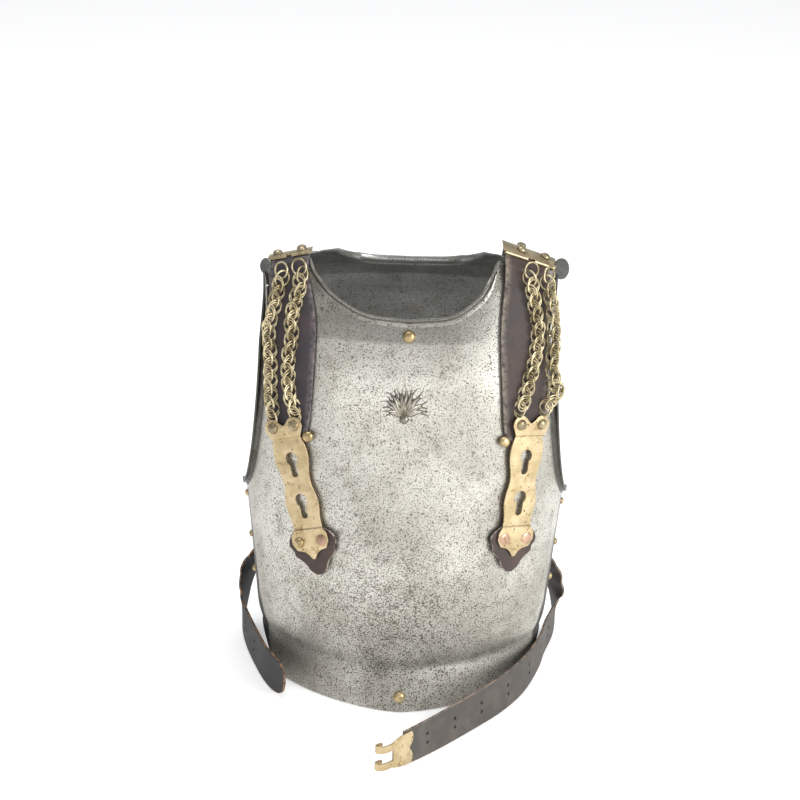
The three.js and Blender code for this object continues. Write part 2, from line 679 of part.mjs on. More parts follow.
const CHAINS = {
  // x, z, height of the chain's middle over the leather's underside
  chain_l_outer: [
    [-126, 421, 10], [-127, 404, 9.5], [-131, 386, 9], [-132.5, 371, 10], [-131, 355, 9.5], [-130, 335, 9],
    [-129.5, 308, 8.5], [-125, 291, 8],
  ],
  chain_l_inner: [
    [-106, 425, 10], [-107, 412, 9], [-112, 398, 8], [-114, 382, 8], [-111.5, 366, 8], [-113.5, 345, 8],
    [-112, 316, 8], [-105, 301, 8],
  ],
  chain_r_inner: [
    [116, 427, 11], [118, 412, 9], [120.5, 393, 8], [122.5, 374, 8], [120, 350, 8], [115, 330, 8], [108, 310, 8],
  ],
  chain_r_outer: [
    [134, 422, 11.5], [137, 409, 10.5], [138, 391, 11.5], [138, 373, 12], [136, 355, 11], [135, 338, 10.5],
    [137, 324, 11], [138, 315, 11], [131, 309, 9.5],
  ],
};
const CHAIN_STEPS = 16;
const CHAIN_SIDES = 8;

/** One strand of chain as a flat tube along its route over the leather. */
function chain(rows) {
  const rings = [];
  for (let i = 0; i <= CHAIN_STEPS; i += 1) {
    const [x, z, lift] = alongRows(rows, i / CHAIN_STEPS);
    const near = alongRows(rows, Math.min(i / CHAIN_STEPS + 0.02, 1));
    const before = alongRows(rows, Math.max(i / CHAIN_STEPS - 0.02, 0));
    const heading = new THREE.Vector3(near[0] - before[0], 0, near[1] - before[1]);
    const frame = breastFrame(x, z, heading);
    frame.origin.addScaledVector(frame.outward, lift + LEATHER_LIFT);
    const ring = [];
    for (let k = 0; k < CHAIN_SIDES; k += 1) {
      const turn = k * 360 / CHAIN_SIDES * RAD;
      const side = frame.right.clone().multiplyScalar(CHAIN_HALF_WIDTH * Math.cos(turn));
      ring.push(frame.origin.clone().add(side).addScaledVector(frame.outward, CHAIN_HALF_DEPTH * Math.sin(turn)));
    }
    rings.push(ring);
  }
  return loft(rings);
}

for (const [name, rows] of Object.entries(CHAINS)) addPiece(name, chain(rows), "brass");

// ---- waist belt ----

const BELT = {
  // middle x, y, z, then the width's direction: outward, forward, up
  waist_strap_l: [
    [-117, 67, 110, -0.05, 0.2, 0.98], [-136, 44, 107, 0, 0.45, 0.87], [-143, 18, 99, -0.1, 0.6, 0.78], [-149, 14, 88, -0.15, 0.65, 0.72],
    [-159, 18, 68, -0.12, 0.7, 0.7], [-164, 18, 44, -0.08, 0.6, 0.8], [-165, 2, 24, 0, 0.25, 0.97],
    [-157, -32, 19.3, 0.03, 0, 1], [-145.5, -72, 19.3, 0.05, 0, 1], [-133.5, -107, 19.3, 0.05, 0, 1],
    [-115, -142, 19.3, 0.05, 0, 1],
  ],
  waist_strap_r: [
    [117, 67, 110, 0.05, 0.2, 0.98], [136, 44, 107, 0, 0.45, 0.87], [143, 18, 99, 0.1, 0.6, 0.78], [149, 16, 86, 0.15, 0.65, 0.72],
    [156, 22, 68, 0.12, 0.7, 0.7], [161, 27, 45, 0.1, 0.6, 0.8], [160, 13, 24, 0, 0.25, 0.97],
    [150, -22, 19.3, 0.03, 0, 1], [141.5, -62, 19.3, 0.03, 0, 1], [124, -112, 19.3, -0.05, 0, 1],
    [101, -153, 19.3, -0.1, 0, 0.99], [75, -188, 19.2, -0.12, 0.05, 0.99], [43, -227, 19, -0.15, 0.1, 0.98],
    [20, -253, 18.7, -0.2, 0.2, 0.96], [5, -268, 18.3, -0.25, 0.3, 0.92],
  ],
};
const BELT_STEPS = 30;

/** The middle of a belt at u, with its directions along, across its width and through its wall. */
function beltAt(rows, u) {
  const [x, y, z, out, forward, up] = alongRows(rows, u);
  const near = alongRows(rows, Math.min(u + 0.01, 1));
  const before = alongRows(rows, Math.max(u - 0.01, 0));
  const heading = new THREE.Vector3(near[0] - before[0], near[1] - before[1], near[2] - before[2]).normalize();
  const width = new THREE.Vector3(out, -forward, up);
  width.addScaledVector(heading, -width.dot(heading)).normalize();
  const wall = heading.clone().cross(width);
  const reach = (Math.abs(width.z) * STRAP_WIDTH + Math.abs(wall.z) * STRAP_WALL) / 2;
  return { middle: new THREE.Vector3(x, y, Math.max(z, reach + CLEAR)), heading, width, wall };
}

function belt(rows, roundEnd) {
  const rings = [];
  for (let i = 0; i <= BELT_STEPS; i += 1) {
    const u = i / BELT_STEPS;
    const { middle, width, wall } = beltAt(rows, u);
    const fromEnd = (1 - u) * BELT_STEPS / 2.2;
    const rounding = roundEnd && fromEnd < 1 ? Math.sqrt(1 - (1 - fromEnd) ** 2) * 0.85 + 0.15 : 1;
    const reach = STRAP_WIDTH / 2 * rounding;
    const corner = (a, b) => middle.clone().addScaledVector(width, a * reach).addScaledVector(wall, b * STRAP_WALL / 2);
    rings.push([corner(-1, -1), corner(1, -1), corner(1, 1), corner(-1, 1)]);
  }
  return loft(rings);
}

addPiece("waist_strap_l", belt(BELT.waist_strap_l, true), "blackLeather");
addPiece("waist_strap_r", belt(BELT.waist_strap_r, false), "leather");

const BELT_RIVET_AT = 0.035;      // from the fixed end, as a share of the table
for (const side of ["l", "r"]) {
  const { middle, width, wall } = beltAt(BELT[`waist_strap_${side}`], BELT_RIVET_AT);
  const outward = wall.multiplyScalar(Math.sign(wall.y));
  const head = frameOf(middle.addScaledVector(outward, STRAP_WALL / 2 + 2 * CLEAR), outward, width);
  addPiece(`belt_rivet_${side}`, stoodOn(turned(DOME, 5, 2.6), head, 0), "brass");
}

// ---- the brass double hook on the end of the right strap ----

const HOOK = { back: 8, front: -16, frontHalf: 14, prongAt: 9.5, prongHalf: 3.6, reach: 15 };

/** The hook plate's outline: x back along the strap from its end, y across the strap. */
function hookShape() {
  const half = STRAP_WIDTH / 2 - 1.5;
  const shape = new THREE.Shape();
  shape.moveTo(HOOK.front, -HOOK.frontHalf);
  shape.quadraticCurveTo(HOOK.front / 2, -half, HOOK.back, -half);
  shape.quadraticCurveTo(HOOK.back + 5, -half / 2, HOOK.back - 3, 0);
  shape.quadraticCurveTo(HOOK.back + 5, half / 2, HOOK.back, half);
  shape.quadraticCurveTo(HOOK.front / 2, half, HOOK.front, HOOK.frontHalf);
  return shape;
}

/** One prong: a strip that leaves the plate's end and curls under, its path in x, z. */
function prong(offset) {
  const rings = [];
  const path = [
    [HOOK.front + 1, 0], [HOOK.front - 5, 0], [HOOK.front - 10, -0.5], [HOOK.front - HOOK.reach, -3],
    [HOOK.front - HOOK.reach - 1, -7], [HOOK.front - HOOK.reach + 3, -9.5], [HOOK.front - HOOK.reach + 8, -8],
  ];
  for (let i = 0; i <= 10; i += 1) {
    const [x, z] = alongRows(path, i / 10);
    const near = alongRows(path, Math.min(i / 10 + 0.02, 1));
    const before = alongRows(path, Math.max(i / 10 - 0.02, 0));
    const heading = new THREE.Vector2(near[0] - before[0], near[1] - before[1]).normalize();
    const half = HOOK.prongHalf * (i > 7 ? 0.8 : 1);
    const corner = (across, thick) => new THREE.Vector3(
      x - heading.y * thick * BRASS / 2, offset + across * half, z + BRASS / 2 + heading.x * thick * BRASS / 2);
    rings.push([corner(-1, -1), corner(1, -1), corner(1, 1), corner(-1, 1)]);
  }
  return solid(loft(rings));
}

function hookPlate() {
  const { middle, heading, width } = beltAt(BELT.waist_strap_r, 1);
  const back = heading.negate();
  const face = back.clone().cross(width);
  const frame = new THREE.Matrix4().makeBasis(back, width, face);
  frame.setPosition(middle.addScaledVector(face, STRAP_WALL / 2 + CLEAR));
  let plate = solid(flatPiece(hookShape(), BRASS));
  for (const offset of [-HOOK.prongAt, HOOK.prongAt]) plate = plate.add(prong(offset));
  return meshOf(plate).applyMatrix4(frame);
}

addPiece("hook_plate", hookPlate(), "brass");

const bounds = new THREE.Box3().setFromObject(cuirass);
const centre = bounds.getCenter(new THREE.Vector3());
cuirass.position.set(-centre.x, -centre.y, -bounds.min.z);
cuirass.updateMatrixWorld(true);

export default cuirass;
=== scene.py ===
"""A cavalry cuirass standing on its rims on a pale floor, its shoulder chains and waist belt undone."""

import bpy
import math
import random
from mathutils import Matrix, Vector

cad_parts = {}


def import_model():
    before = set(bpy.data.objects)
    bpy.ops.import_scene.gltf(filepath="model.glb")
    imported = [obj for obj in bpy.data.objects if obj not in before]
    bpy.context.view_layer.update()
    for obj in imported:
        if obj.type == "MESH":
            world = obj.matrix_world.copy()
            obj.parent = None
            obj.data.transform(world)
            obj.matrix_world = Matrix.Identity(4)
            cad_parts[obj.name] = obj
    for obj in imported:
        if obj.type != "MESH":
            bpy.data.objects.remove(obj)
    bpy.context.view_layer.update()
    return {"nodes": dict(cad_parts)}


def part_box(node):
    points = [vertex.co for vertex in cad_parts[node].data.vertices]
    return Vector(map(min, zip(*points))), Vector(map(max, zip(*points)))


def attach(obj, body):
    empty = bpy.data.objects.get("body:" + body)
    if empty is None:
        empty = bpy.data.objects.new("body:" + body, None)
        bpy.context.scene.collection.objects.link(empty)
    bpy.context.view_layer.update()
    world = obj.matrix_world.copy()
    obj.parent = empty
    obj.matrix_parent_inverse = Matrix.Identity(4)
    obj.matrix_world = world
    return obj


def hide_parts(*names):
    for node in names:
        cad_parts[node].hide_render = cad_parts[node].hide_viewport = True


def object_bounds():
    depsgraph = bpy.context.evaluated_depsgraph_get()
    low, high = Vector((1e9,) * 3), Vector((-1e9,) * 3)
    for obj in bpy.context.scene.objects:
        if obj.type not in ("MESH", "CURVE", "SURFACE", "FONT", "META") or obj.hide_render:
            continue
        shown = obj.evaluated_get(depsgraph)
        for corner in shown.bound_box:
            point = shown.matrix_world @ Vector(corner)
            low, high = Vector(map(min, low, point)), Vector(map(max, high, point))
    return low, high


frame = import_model()

# ---- Breastplate ----
# One sheet of steel beaten to a full chest, with a soft ridge down its middle, a crease at the waist
# and a flared hem. Its neck and arm edges are turned out to a narrow flange, and it stands on its rim.

# Everything is drawn in millimetres about a point on the floor, this far behind the front of the rim.
RIM_FRONT = 160
low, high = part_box("breastplate")
FOOT = Vector(((low.x + high.x) / 2, low.y + RIM_FRONT / 1000, low.z))


def world(point):
    """A point drawn in millimetres, in the scene's metres."""
    return FOOT + Vector(point) * 0.001


def clamp(value):
    """The value, kept between 0 and 1."""
    return min(max(value, 0), 1)


def blend_rows(rows, i, t):
    """A smooth curve between rows i and i + 1 of a table."""
    before, start = rows[max(i - 1, 0)], rows[i]
    end, after = rows[i + 1], rows[min(i + 2, len(rows) - 1)]
    row = []
    for a, b, c, d in zip(before, start, end, after):
        slope_in, slope_out = (c - a) / 2, (d - b) / 2
        row.append((2 * t**3 - 3 * t**2 + 1) * b + (t**3 - 2 * t**2 + t) * slope_in
                   + (3 * t**2 - 2 * t**3) * c + (t**3 - t**2) * slope_out)
    return row


def along_rows(rows, u):
    """The table's curve at u from 0 to 1."""
    at = clamp(u) * (len(rows) - 1)
    i = min(int(at), len(rows) - 2)
    return blend_rows(rows, i, at - i)


def section_at(sections, z):
    """The cross-section at height z; the table's first column is z, rising."""
    i = 0
    while i < len(sections) - 2 and z > sections[i + 1][0]:
        i += 1
    t = (z - sections[i][0]) / (sections[i + 1][0] - sections[i][0])
    if 0 <= t <= 1:
        return [z] + blend_rows(sections, i, t)[1:]
    return [z] + [a + (b - a) * t for a, b in zip(sections[i], sections[i + 1])][1:]


def section_point(section, angle):
    """A point of a section's outline: angle 0 at the centre line, 90 degrees at the side."""
    z, half_width, far, side, full = section
    across = abs(math.sin(angle)) ** (2 / full) * math.copysign(1, math.sin(angle))
    depth = max(math.cos(angle), 0) ** (2 / full)
    return Vector((half_width * across, side + (far - side) * depth, z))


def angle_at(section, x):
    """The angle at which a section's outline has this x."""
    return math.copysign(math.asin(min((abs(x) / section[1]) ** (section[4] / 2), 1)), x)


def face_normal(sections, z, angle):
    """The outward direction of the surface through a table of sections."""
    def at(height, turn):
        return section_point(section_at(sections, height), turn)
    across = at(z, angle + 0.004) - at(z, angle - 0.004)
    up = at(z + 0.5, angle) - at(z - 0.5, angle)
    return across.cross(up).normalized()


def sheet(name, columns, rows, point_at):
    """A grid whose points are set by point_at(u, v), with u across and v up, both from 0 to 1."""
    bpy.ops.mesh.primitive_grid_add(x_subdivisions=columns, y_subdivisions=rows, size=1)
    piece = bpy.context.object
    piece.name = name
    for vertex in piece.data.vertices:
        vertex.co = world(point_at(vertex.co.x + 0.5, vertex.co.y + 0.5))
    return piece


def apply(piece, kind, **settings):
    """Adds a modifier with these settings and applies it."""
    bpy.context.view_layer.objects.active = piece
    modifier = piece.modifiers.new(kind, kind)
    for key, value in settings.items():
        setattr(modifier, key, value)
    bpy.ops.object.modifier_apply(modifier=modifier.name)


def face_outward(piece):
    """Merges doubled points and turns every face outward."""
    bpy.ops.object.select_all(action="DESELECT")
    piece.select_set(True)
    bpy.context.view_layer.objects.active = piece
    bpy.ops.object.mode_set(mode="EDIT")
    bpy.ops.mesh.select_all(action="SELECT")
    bpy.ops.mesh.remove_doubles(threshold=1e-6)
    bpy.ops.mesh.normals_make_consistent(inside=False)
    bpy.ops.object.mode_set(mode="OBJECT")


def walled(piece, wall, edge):
    """Gives a sheet its wall, inward from its outer face, and breaks the edges."""
    apply(piece, "SOLIDIFY", thickness=wall * 0.001, offset=-1)
    face_outward(piece)
    apply(piece, "BEVEL", width=edge * 0.001, segments=2, limit_method="ANGLE", angle_limit=math.radians(50))
    return piece


def hand_over(piece, nodes, material, smooth=40):
    """Shades and paints a finished piece and lets it stand for its CAD nodes."""
    bpy.ops.object.select_all(action="DESELECT")
    piece.select_set(True)
    bpy.context.view_layer.objects.active = piece
    bpy.ops.object.shade_smooth_by_angle(angle=math.radians(smooth))
    piece.data.materials.clear()
    piece.data.materials.append(material)
    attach(piece, "root")
    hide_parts(*nodes)


class Wire:
    """One output of a shader node, so that shader sums are written as sums."""

    def __init__(self, socket):
        self.socket = socket
        self.tree = socket.id_data

    def maths(self, operation, other, swapped=False):
        node = self.tree.nodes.new("ShaderNodeMath")
        node.operation = operation
        mine, theirs = (1, 0) if swapped else (0, 1)
        self.tree.links.new(self.socket, node.inputs[mine])
        feed(self.tree, other, node.inputs[theirs])
        return Wire(node.outputs[0])

    def __add__(self, other):
        return self.maths("ADD", other)

    def __sub__(self, other):
        return self.maths("SUBTRACT", other)

    def __rsub__(self, other):
        return self.maths("SUBTRACT", other, True)

    def __mul__(self, other):
        return self.maths("MULTIPLY", other)

    __radd__ = __add__
    __rmul__ = __mul__

    def between(self, start, end):
        """0 below start, 1 above end and smooth between; start may be the larger."""
        node = self.tree.nodes.new("ShaderNodeMapRange")
        node.interpolation_type = "SMOOTHSTEP"
        self.tree.links.new(self.socket, node.inputs["Value"])
        node.inputs["From Min"].default_value = start
        node.inputs["From Max"].default_value = end
        return Wire(node.outputs["Result"])


def feed(tree, value, socket):
    """Sets a socket from a wire, a number or a colour."""
    if isinstance(value, Wire):
        tree.links.new(value.socket, socket)
    elif isinstance(value, (tuple, list)):
        socket.default_value = (*value, 1)
    else:
        socket.default_value = value


class Finish:
    """A procedural material, its patterns laid out in the piece's own metres."""

    def __init__(self, name, metallic):
        self.material = bpy.data.materials.new(name)
        self.material.use_nodes = True
        self.tree = self.material.node_tree
        self.shader = self.tree.nodes["Principled BSDF"]
        self.shader.inputs["Metallic"].default_value = metallic
        self.place = self.tree.nodes.new("ShaderNodeTexCoord").outputs["Object"]

    def noise(self, size, detail=3.0, stretch=(1, 1, 1)):
        """Noise from 0 to 1 whose marks are about size millimetres across."""
        node = self.tree.nodes.new("ShaderNodeTexNoise")
        node.inputs["Scale"].default_value = 1000 / size
        node.inputs["Detail"].default_value = detail
        self.tree.links.new(self.stretched(stretch), node.inputs["Vector"])
        return Wire(node.outputs["Fac"])

    def cells(self, size):
        """The distance from the middle of each of many cells about size millimetres wide."""
        node = self.tree.nodes.new("ShaderNodeTexVoronoi")
        node.inputs["Scale"].default_value = 1000 / size
        self.tree.links.new(self.place, node.inputs["Vector"])
        return Wire(node.outputs["Distance"])

    def stretched(self, stretch):
        node = self.tree.nodes.new("ShaderNodeVectorMath")
        node.operation = "MULTIPLY"
        node.inputs[1].default_value = stretch
        self.tree.links.new(self.place, node.inputs[0])
        return node.outputs[0]

    def attribute(self, name):
        node = self.tree.nodes.new("ShaderNodeAttribute")
        node.attribute_name = name
        return Wire(node.outputs["Fac"])

    def mix(self, amount, first, second):
        node = self.tree.nodes.new("ShaderNodeMix")
        node.data_type = "RGBA"
        feed(self.tree, amount, node.inputs[0])
        feed(self.tree, first, node.inputs[6])
        feed(self.tree, second, node.inputs[7])
        return Wire(node.outputs[2])

    def set(self, socket, value):
        feed(self.tree, value, self.shader.inputs[socket])

    def bump(self, height, depth):
        """Bump from a height wire; depth in millimetres."""
        node = self.tree.nodes.new("ShaderNodeBump")
        node.inputs["Distance"].default_value = depth * 0.001
        self.tree.links.new(height.socket, node.inputs["Height"])
        self.tree.links.new(node.outputs[0], self.shader.inputs["Normal"])


def steel_finish(name, light, dark, flecked=1.0):
    """Old bare steel: cloudy warm grey, peppered with short dark flecks and a little brown rust."""
    steel = Finish(name, 1.0)
    cloud = steel.noise(70, 4)
    patch = steel.noise(14, 5)
    density = steel.attribute("pitting") * 0.07 + patch * 0.12
    flecks = (steel.noise(1.3, 1.5) + density).between(0.635, 0.72) * flecked
    specks = steel.noise(5.5, 2).between(0.7, 0.74) * flecked
    colour = steel.mix(cloud.between(0.4, 0.62), dark, light)
    colour = steel.mix(patch.between(0.5, 0.75) * 0.35, colour, (0.24, 0.215, 0.17))
    colour = steel.mix(steel.noise(1.3, 2).between(0.4, 0.65) * 0.3, colour, (0.17, 0.165, 0.14))
    # Darkened towards near black by a stored mark: painted shade on the breastplate and between the badge's
    # flames, rust in the crease.
    colour = steel.mix(steel.attribute("shade_and_grime"), colour, (0.035, 0.035, 0.03))
    marks = (flecks + specks).between(0, 0.9)
    steel.set("Base Color", steel.mix(marks * 0.56, colour, (0.045, 0.038, 0.028)))
    steel.set("Roughness", 0.27 + patch * 0.16 + marks * 0.3 + steel.attribute("dull") * 0.26)
    steel.bump(1 - marks + steel.noise(6, 4) * 0.3, 0.15)
    return steel.material


BREAST_WALL = 2.8
BREAST_COLUMNS = 180
LIP = 8                           # width of the flange turned out round neck and arms
LIP_TURN = math.radians(48)       # how far that flange turns out of the plate
HEM_END = math.radians(68)        # how far round the rim reaches
HEM_SHARE = 0.12                  # the hem's share of a sheet, where the plate above it has 1
SHEET_SPAN = 1.22                 # the hem, the plate and the flange, which has 0.1
NECK_CELLS, SHOULDER_CELLS, ARM_CELLS = 6, 3, 7     # how the upper edge of half a plate is shared out
SHOULDER_IN, SHOULDER_OUT = 93, 142
ARM_CORNER_Z = 187
ARMHOLE_FROM = 0.56               # the share of a half plate's width where its armhole begins
NECK_SHIFT = -7                   # the neck sits this far to one side
WAIST_DRAW = 0.016                # the share by which the crease is drawn in
FOLD_IN, FOLD_WIDTH = 20, 2.6     # the side strip's fold, from the side edge
RIDGE_HEIGHT = 1.4
BREAST_SECTIONS = [
    # z, half width, front y, side y, fullness
    (40, 144.5, -150, -41, 1.6), (70, 148, -151.5, -39, 1.72), (100, 151, -152, -36, 1.85),
    (150, 156, -150, -30, 1.98), (190, 160.5, -145.5, -25, 2.04), (250, 164, -135, -22, 2.1),
    (310, 163, -120, -20, 2.15), (370, 159, -99, -17, 2.2), (410, 155, -81, -14, 2.2),
    (445, 151, -62, -11, 2.2),
]
BREAST_RIM = (0, 141, -RIM_FRONT, -42, 1.57)
BREAST_EDGE = {
    # x, z of the upper edge: the neck, the shoulder and the armhole; then how much flange is left at its foot
    "neck": [(0, 384), (40, 387), (64, 397.5), (81, 411), (89.5, 425), (SHOULDER_IN, 439)],
    "shoulder": [(SHOULDER_IN, 439), (SHOULDER_OUT, 424)],
    "arm": [
        (SHOULDER_OUT, 424), (138, 400), (137.5, 360), (139, 320), (142, 280), (146, 245), (152, 212),
        (160.2, ARM_CORNER_Z)],
    "corner lip": 0.7,
}


def upper_edge(edge, share):
    """x, z and the flange's width along the upper edge, from the centre line to the side."""
    at = share * (NECK_CELLS + SHOULDER_CELLS + ARM_CELLS)
    if at < NECK_CELLS:
        u = at / NECK_CELLS
        return *along_rows(edge["neck"], u), LIP * min(1, (1 - u) * 3)
    at -= NECK_CELLS
    if at < SHOULDER_CELLS:
        return *along_rows(edge["shoulder"], at / SHOULDER_CELLS), 0.6
    u = (at - SHOULDER_CELLS) / ARM_CELLS
    return *along_rows(edge["arm"], u), LIP * min(1, 0.1 + u * 3) * (1 + (edge["corner lip"] - 1) * u * u)


def height_share(v):
    """A sheet's v as a height: below 0 on the hem, 0 at the crease, 1 at the upper edge, 1.1 at its lip."""
    return v * SHEET_SPAN - HEM_SHARE


def plate_point(sections, rim, edge, across, up):
    """A point of a plate's outer face: across from -1 to 1, and up as height_share gives it."""
    share = abs(across)
    crease_z = 44 - 3 * share * share
    crease = section_point(section_at(sections, crease_z), share * math.pi / 2)
    if up < 0:
        point = section_point(rim, share * HEM_END).lerp(crease, 1 + up / HEM_SHARE)
    else:
        point = body_point(sections, edge, share, min(up, 1), crease)
    if up > 1:
        point = point + lip_offset(sections, edge, share, (up - 1) * 10)
    return Vector((math.copysign(point.x, across), point.y, point.z))


def body_point(sections, edge, share, up, crease):
    """A point from the crease to the upper edge, whose x leans over to the edge's on the way up."""
    top_x, top_z, _ = upper_edge(edge, share)
    rise = 1 - (1 - up) ** 1.35
    z = crease.z + (top_z - crease.z) * rise
    section = section_at(sections, z)
    narrowing = section_at(sections, min(z, ARM_CORNER_Z))[1] / section_at(sections, ARM_CORNER_Z)[1]
    lean = rise ** (1 + 8 * min(max(0.66 - share, 0), 0.1))
    x = section_point(section, share * math.pi / 2).x * (1 - lean) + top_x * narrowing * lean
    return section_point(section, angle_at(section, x))


def lip_offset(sections, edge, share, reach):
    """How far the flange stands out from the plate's edge, from its fold (0) to its outer edge (1)."""
    def at(s):
        x, z, _ = upper_edge(edge, s)
        return section_point(section_at(sections, z), angle_at(section_at(sections, z), x))
    x, z, width = upper_edge(edge, share)
    normal = face_normal(sections, z, angle_at(section_at(sections, z), x))
    along = at(min(share + 0.02, 1)) - at(max(share - 0.02, 0))
    if edge is not BREAST_EDGE:
        normal, along = -normal, -along
    out = normal.cross(along).normalized()
    turn = LIP_TURN * reach
    return out * (width * reach * math.cos(turn)) + normal * (width * reach * math.sin(turn))


def mark(piece, name, columns, amount_at):
    """Stores a number for each point of a new sheet, for its material to read."""
    rows = len(piece.data.vertices) // (columns + 1) - 1
    layer = piece.data.attributes.new(name, "FLOAT", "POINT")
    for i, item in enumerate(layer.data):
        u, v = i % (columns + 1) / columns, i // (columns + 1) / rows
        item.value = amount_at(u, v, (piece.data.vertices[i].co - FOOT) * 1000)


def breast_point(u, v):
    """A point of the breastplate, with its side folds, waist crease, ridge and shifted neck."""
    point = plate_point(BREAST_SECTIONS, BREAST_RIM, BREAST_EDGE, u * 2 - 1, height_share(v))
    side = 1 - abs(u * 2 - 1)
    fold = math.exp(-((side * 160 - FOLD_IN) / FOLD_WIDTH) ** 2) * clamp((190 - point.z) / 10)
    waist = math.exp(-((point.z - 45) / 8) ** 2)
    ridge = math.exp(-abs(point.x) / 15) * clamp((point.z - 38) / 40) * clamp((425 - point.z) / 60)
    neck = clamp((point.z - 392) / 36) * clamp((126 - abs(point.x)) / 26)
    moved = Vector((math.copysign(0.9, u - 0.5), -0.5, 0)) * fold + Vector((NECK_SHIFT * neck, 0, 0))
    drawn_in = Vector((-point.x, -40 - point.y, 0)) * WAIST_DRAW * waist
    return point + moved + drawn_in - Vector((0, RIDGE_HEIGHT, 0)) * ridge


def breast_shade_and_grime(u, v, point):
    """Painted shade on the side strips, armhole flanges and neck; rust and painted shade in the crease;
    darker low on the plate.
    """
    share = abs(u * 2 - 1)
    side_y = section_at(BREAST_SECTIONS, point.z)[3]
    strip = clamp((point.y - side_y + 26) / 4) * clamp((192 - point.z) / 5)
    flange = 0.85 if height_share(v) > 1.005 and share > ARMHOLE_FROM else 0
    low = 0.22 * math.exp(-(point.x / 75) ** 2 - ((point.z - 40) / 55) ** 2)
    crease = 0.26 * math.exp(-((point.z - 46) / 5.5) ** 2)
    neck = 0.5 * clamp((point.z - 335) / 60) if share < ARMHOLE_FROM else 0
    return max(strip * 0.9, flange, low + crease, neck)


def breast_pitting(u, v, point):
    """Thickest low on the chest, thin at the shoulders and sides."""
    low_chest = math.exp(-((point.x + 8) / 85) ** 2 - ((point.z - 105) / 95) ** 2)
    return 0.1 + 1.1 * low_chest - 0.5 * max(abs(point.x) - 110, 0) / 50


def breast_dullness(u, v, point):
    """Dull at the hem, and brighter up to the lower chest."""
    return clamp((170 - point.z) / 110)


breast_steel = steel_finish("steel", (0.62, 0.6, 0.545), (0.47, 0.45, 0.4))
breast_shell = sheet("breast_shell", BREAST_COLUMNS, 122, breast_point)
# Painted shade, with some rust in the crease, darkens the breastplate's steel here.
mark(breast_shell, "shade_and_grime", BREAST_COLUMNS, breast_shade_and_grime)
mark(breast_shell, "pitting", BREAST_COLUMNS, breast_pitting)
mark(breast_shell, "dull", BREAST_COLUMNS, breast_dullness)
hand_over(walled(breast_shell, BREAST_WALL, 0.5), ["breastplate"], breast_steel)

# ---- Backplate ----
# A second, thinner steel sheet that follows the shoulder blades and the small of the back.
# Its side edges slip inside the breastplate's, and only its neck and arm edges are turned out.

BACK_WALL = 1.8
BACK_SECTIONS = [
    # z, half width, back y, side y, fullness
    (40, 138.5, 100, -49, 1.9), (100, 144.8, 108, -44, 1.95), (150, 149.8, 116, -38, 2.0),
    (190, 154.3, 122, -33, 2.05), (250, 160, 127, -27, 2.1), (310, 159, 121, -24, 2.2),
    (350, 157, 105, -20, 2.25), (380, 154, 84, -17, 2.3), (400, 151, 62, -15, 2.3),
    (414, 150, 38, -14, 2.3), (424, 149, 14, -13, 2.3), (430, 148.5, -2, -13, 2.3),
]
BACK_RIM = (0, 138, 112, -38, 1.8)
BACK_EDGE = {
    "neck": [(0, 393), (38, 395), (60, 401), (75, 410), (85, 420), (SHOULDER_IN, 428)],
    "shoulder": [(SHOULDER_IN, 428), (SHOULDER_OUT, 413)],
    "arm": [
        (SHOULDER_OUT, 413), (138, 390), (136, 355), (137, 320), (140, 280), (144, 245), (149, 212),
        (154, ARM_CORNER_Z)],
    "corner lip": 0,
}


def back_point(u, v):
    """A point of the backplate, from one side edge round to the other."""
    return plate_point(BACK_SECTIONS, BACK_RIM, BACK_EDGE, 1 - u * 2, height_share(v))


# The breastplate's steel finish in darker colours: painted shade on the backplate, which stands behind the
# breastplate.
shaded_back_steel = steel_finish("shaded_back_steel", (0.42, 0.42, 0.4), (0.3, 0.3, 0.285))
backplate = walled(sheet("back_shell", 150, 110, back_point), BACK_WALL, 0.4)
hand_over(backplate, ["backplate"], shaded_back_steel)

# ---- Rivets and studs ----
# Solid brass heads, turned and then closed over the plate's edges: one at the throat, one at the hem and
# three on each side strip. A waisted stud on each breast takes a clasp's keyhole.

UP = Vector((0, 0, 1))


def frame_of(origin, outward, towards):
    """A frame in millimetres: x across, y towards a direction, z off the surface."""
    up = (towards - outward * towards.dot(outward)).normalized()
    matrix = Matrix((up.cross(outward), up, outward)).transposed().to_4x4()
    matrix.translation = origin
    return matrix


def breast_frame(x, z, lift=0.0, towards=UP):
    """A frame on the breastplate, lifted off it by so many millimetres."""
    section = section_at(BREAST_SECTIONS, z)
    angle = angle_at(section, x)
    normal = face_normal(BREAST_SECTIONS, z, angle)
    return frame_of(section_point(section, angle) + normal * lift, normal, towards)


def stand(piece, place):
    """Puts a piece drawn in millimetres on a frame."""
    piece.data.transform(Matrix.Translation(FOOT) @ Matrix.Scale(0.001, 4) @ place)
    return piece


def turned(name, profile, radius, height, sides=24):
    """A head turned about z in millimetres; the profile's columns are radius and height, from 0 to 1."""
    bpy.ops.mesh.primitive_circle_add(vertices=sides, radius=profile[0][0] * radius, fill_type="NGON")
    head = bpy.context.object
    head.name = name
    bpy.ops.object.mode_set(mode="EDIT")
    bpy.ops.mesh.select_all(action="SELECT")
    for (r, h), (next_r, next_h) in zip(profile, profile[1:]):
        bpy.ops.mesh.extrude_region_move(TRANSFORM_OT_translate={"value": (0, 0, (next_h - h) * height)})
        bpy.ops.transform.resize(value=(next_r / r, next_r / r, 1))
    bpy.ops.object.mode_set(mode="OBJECT")
    face_outward(head)
    return head


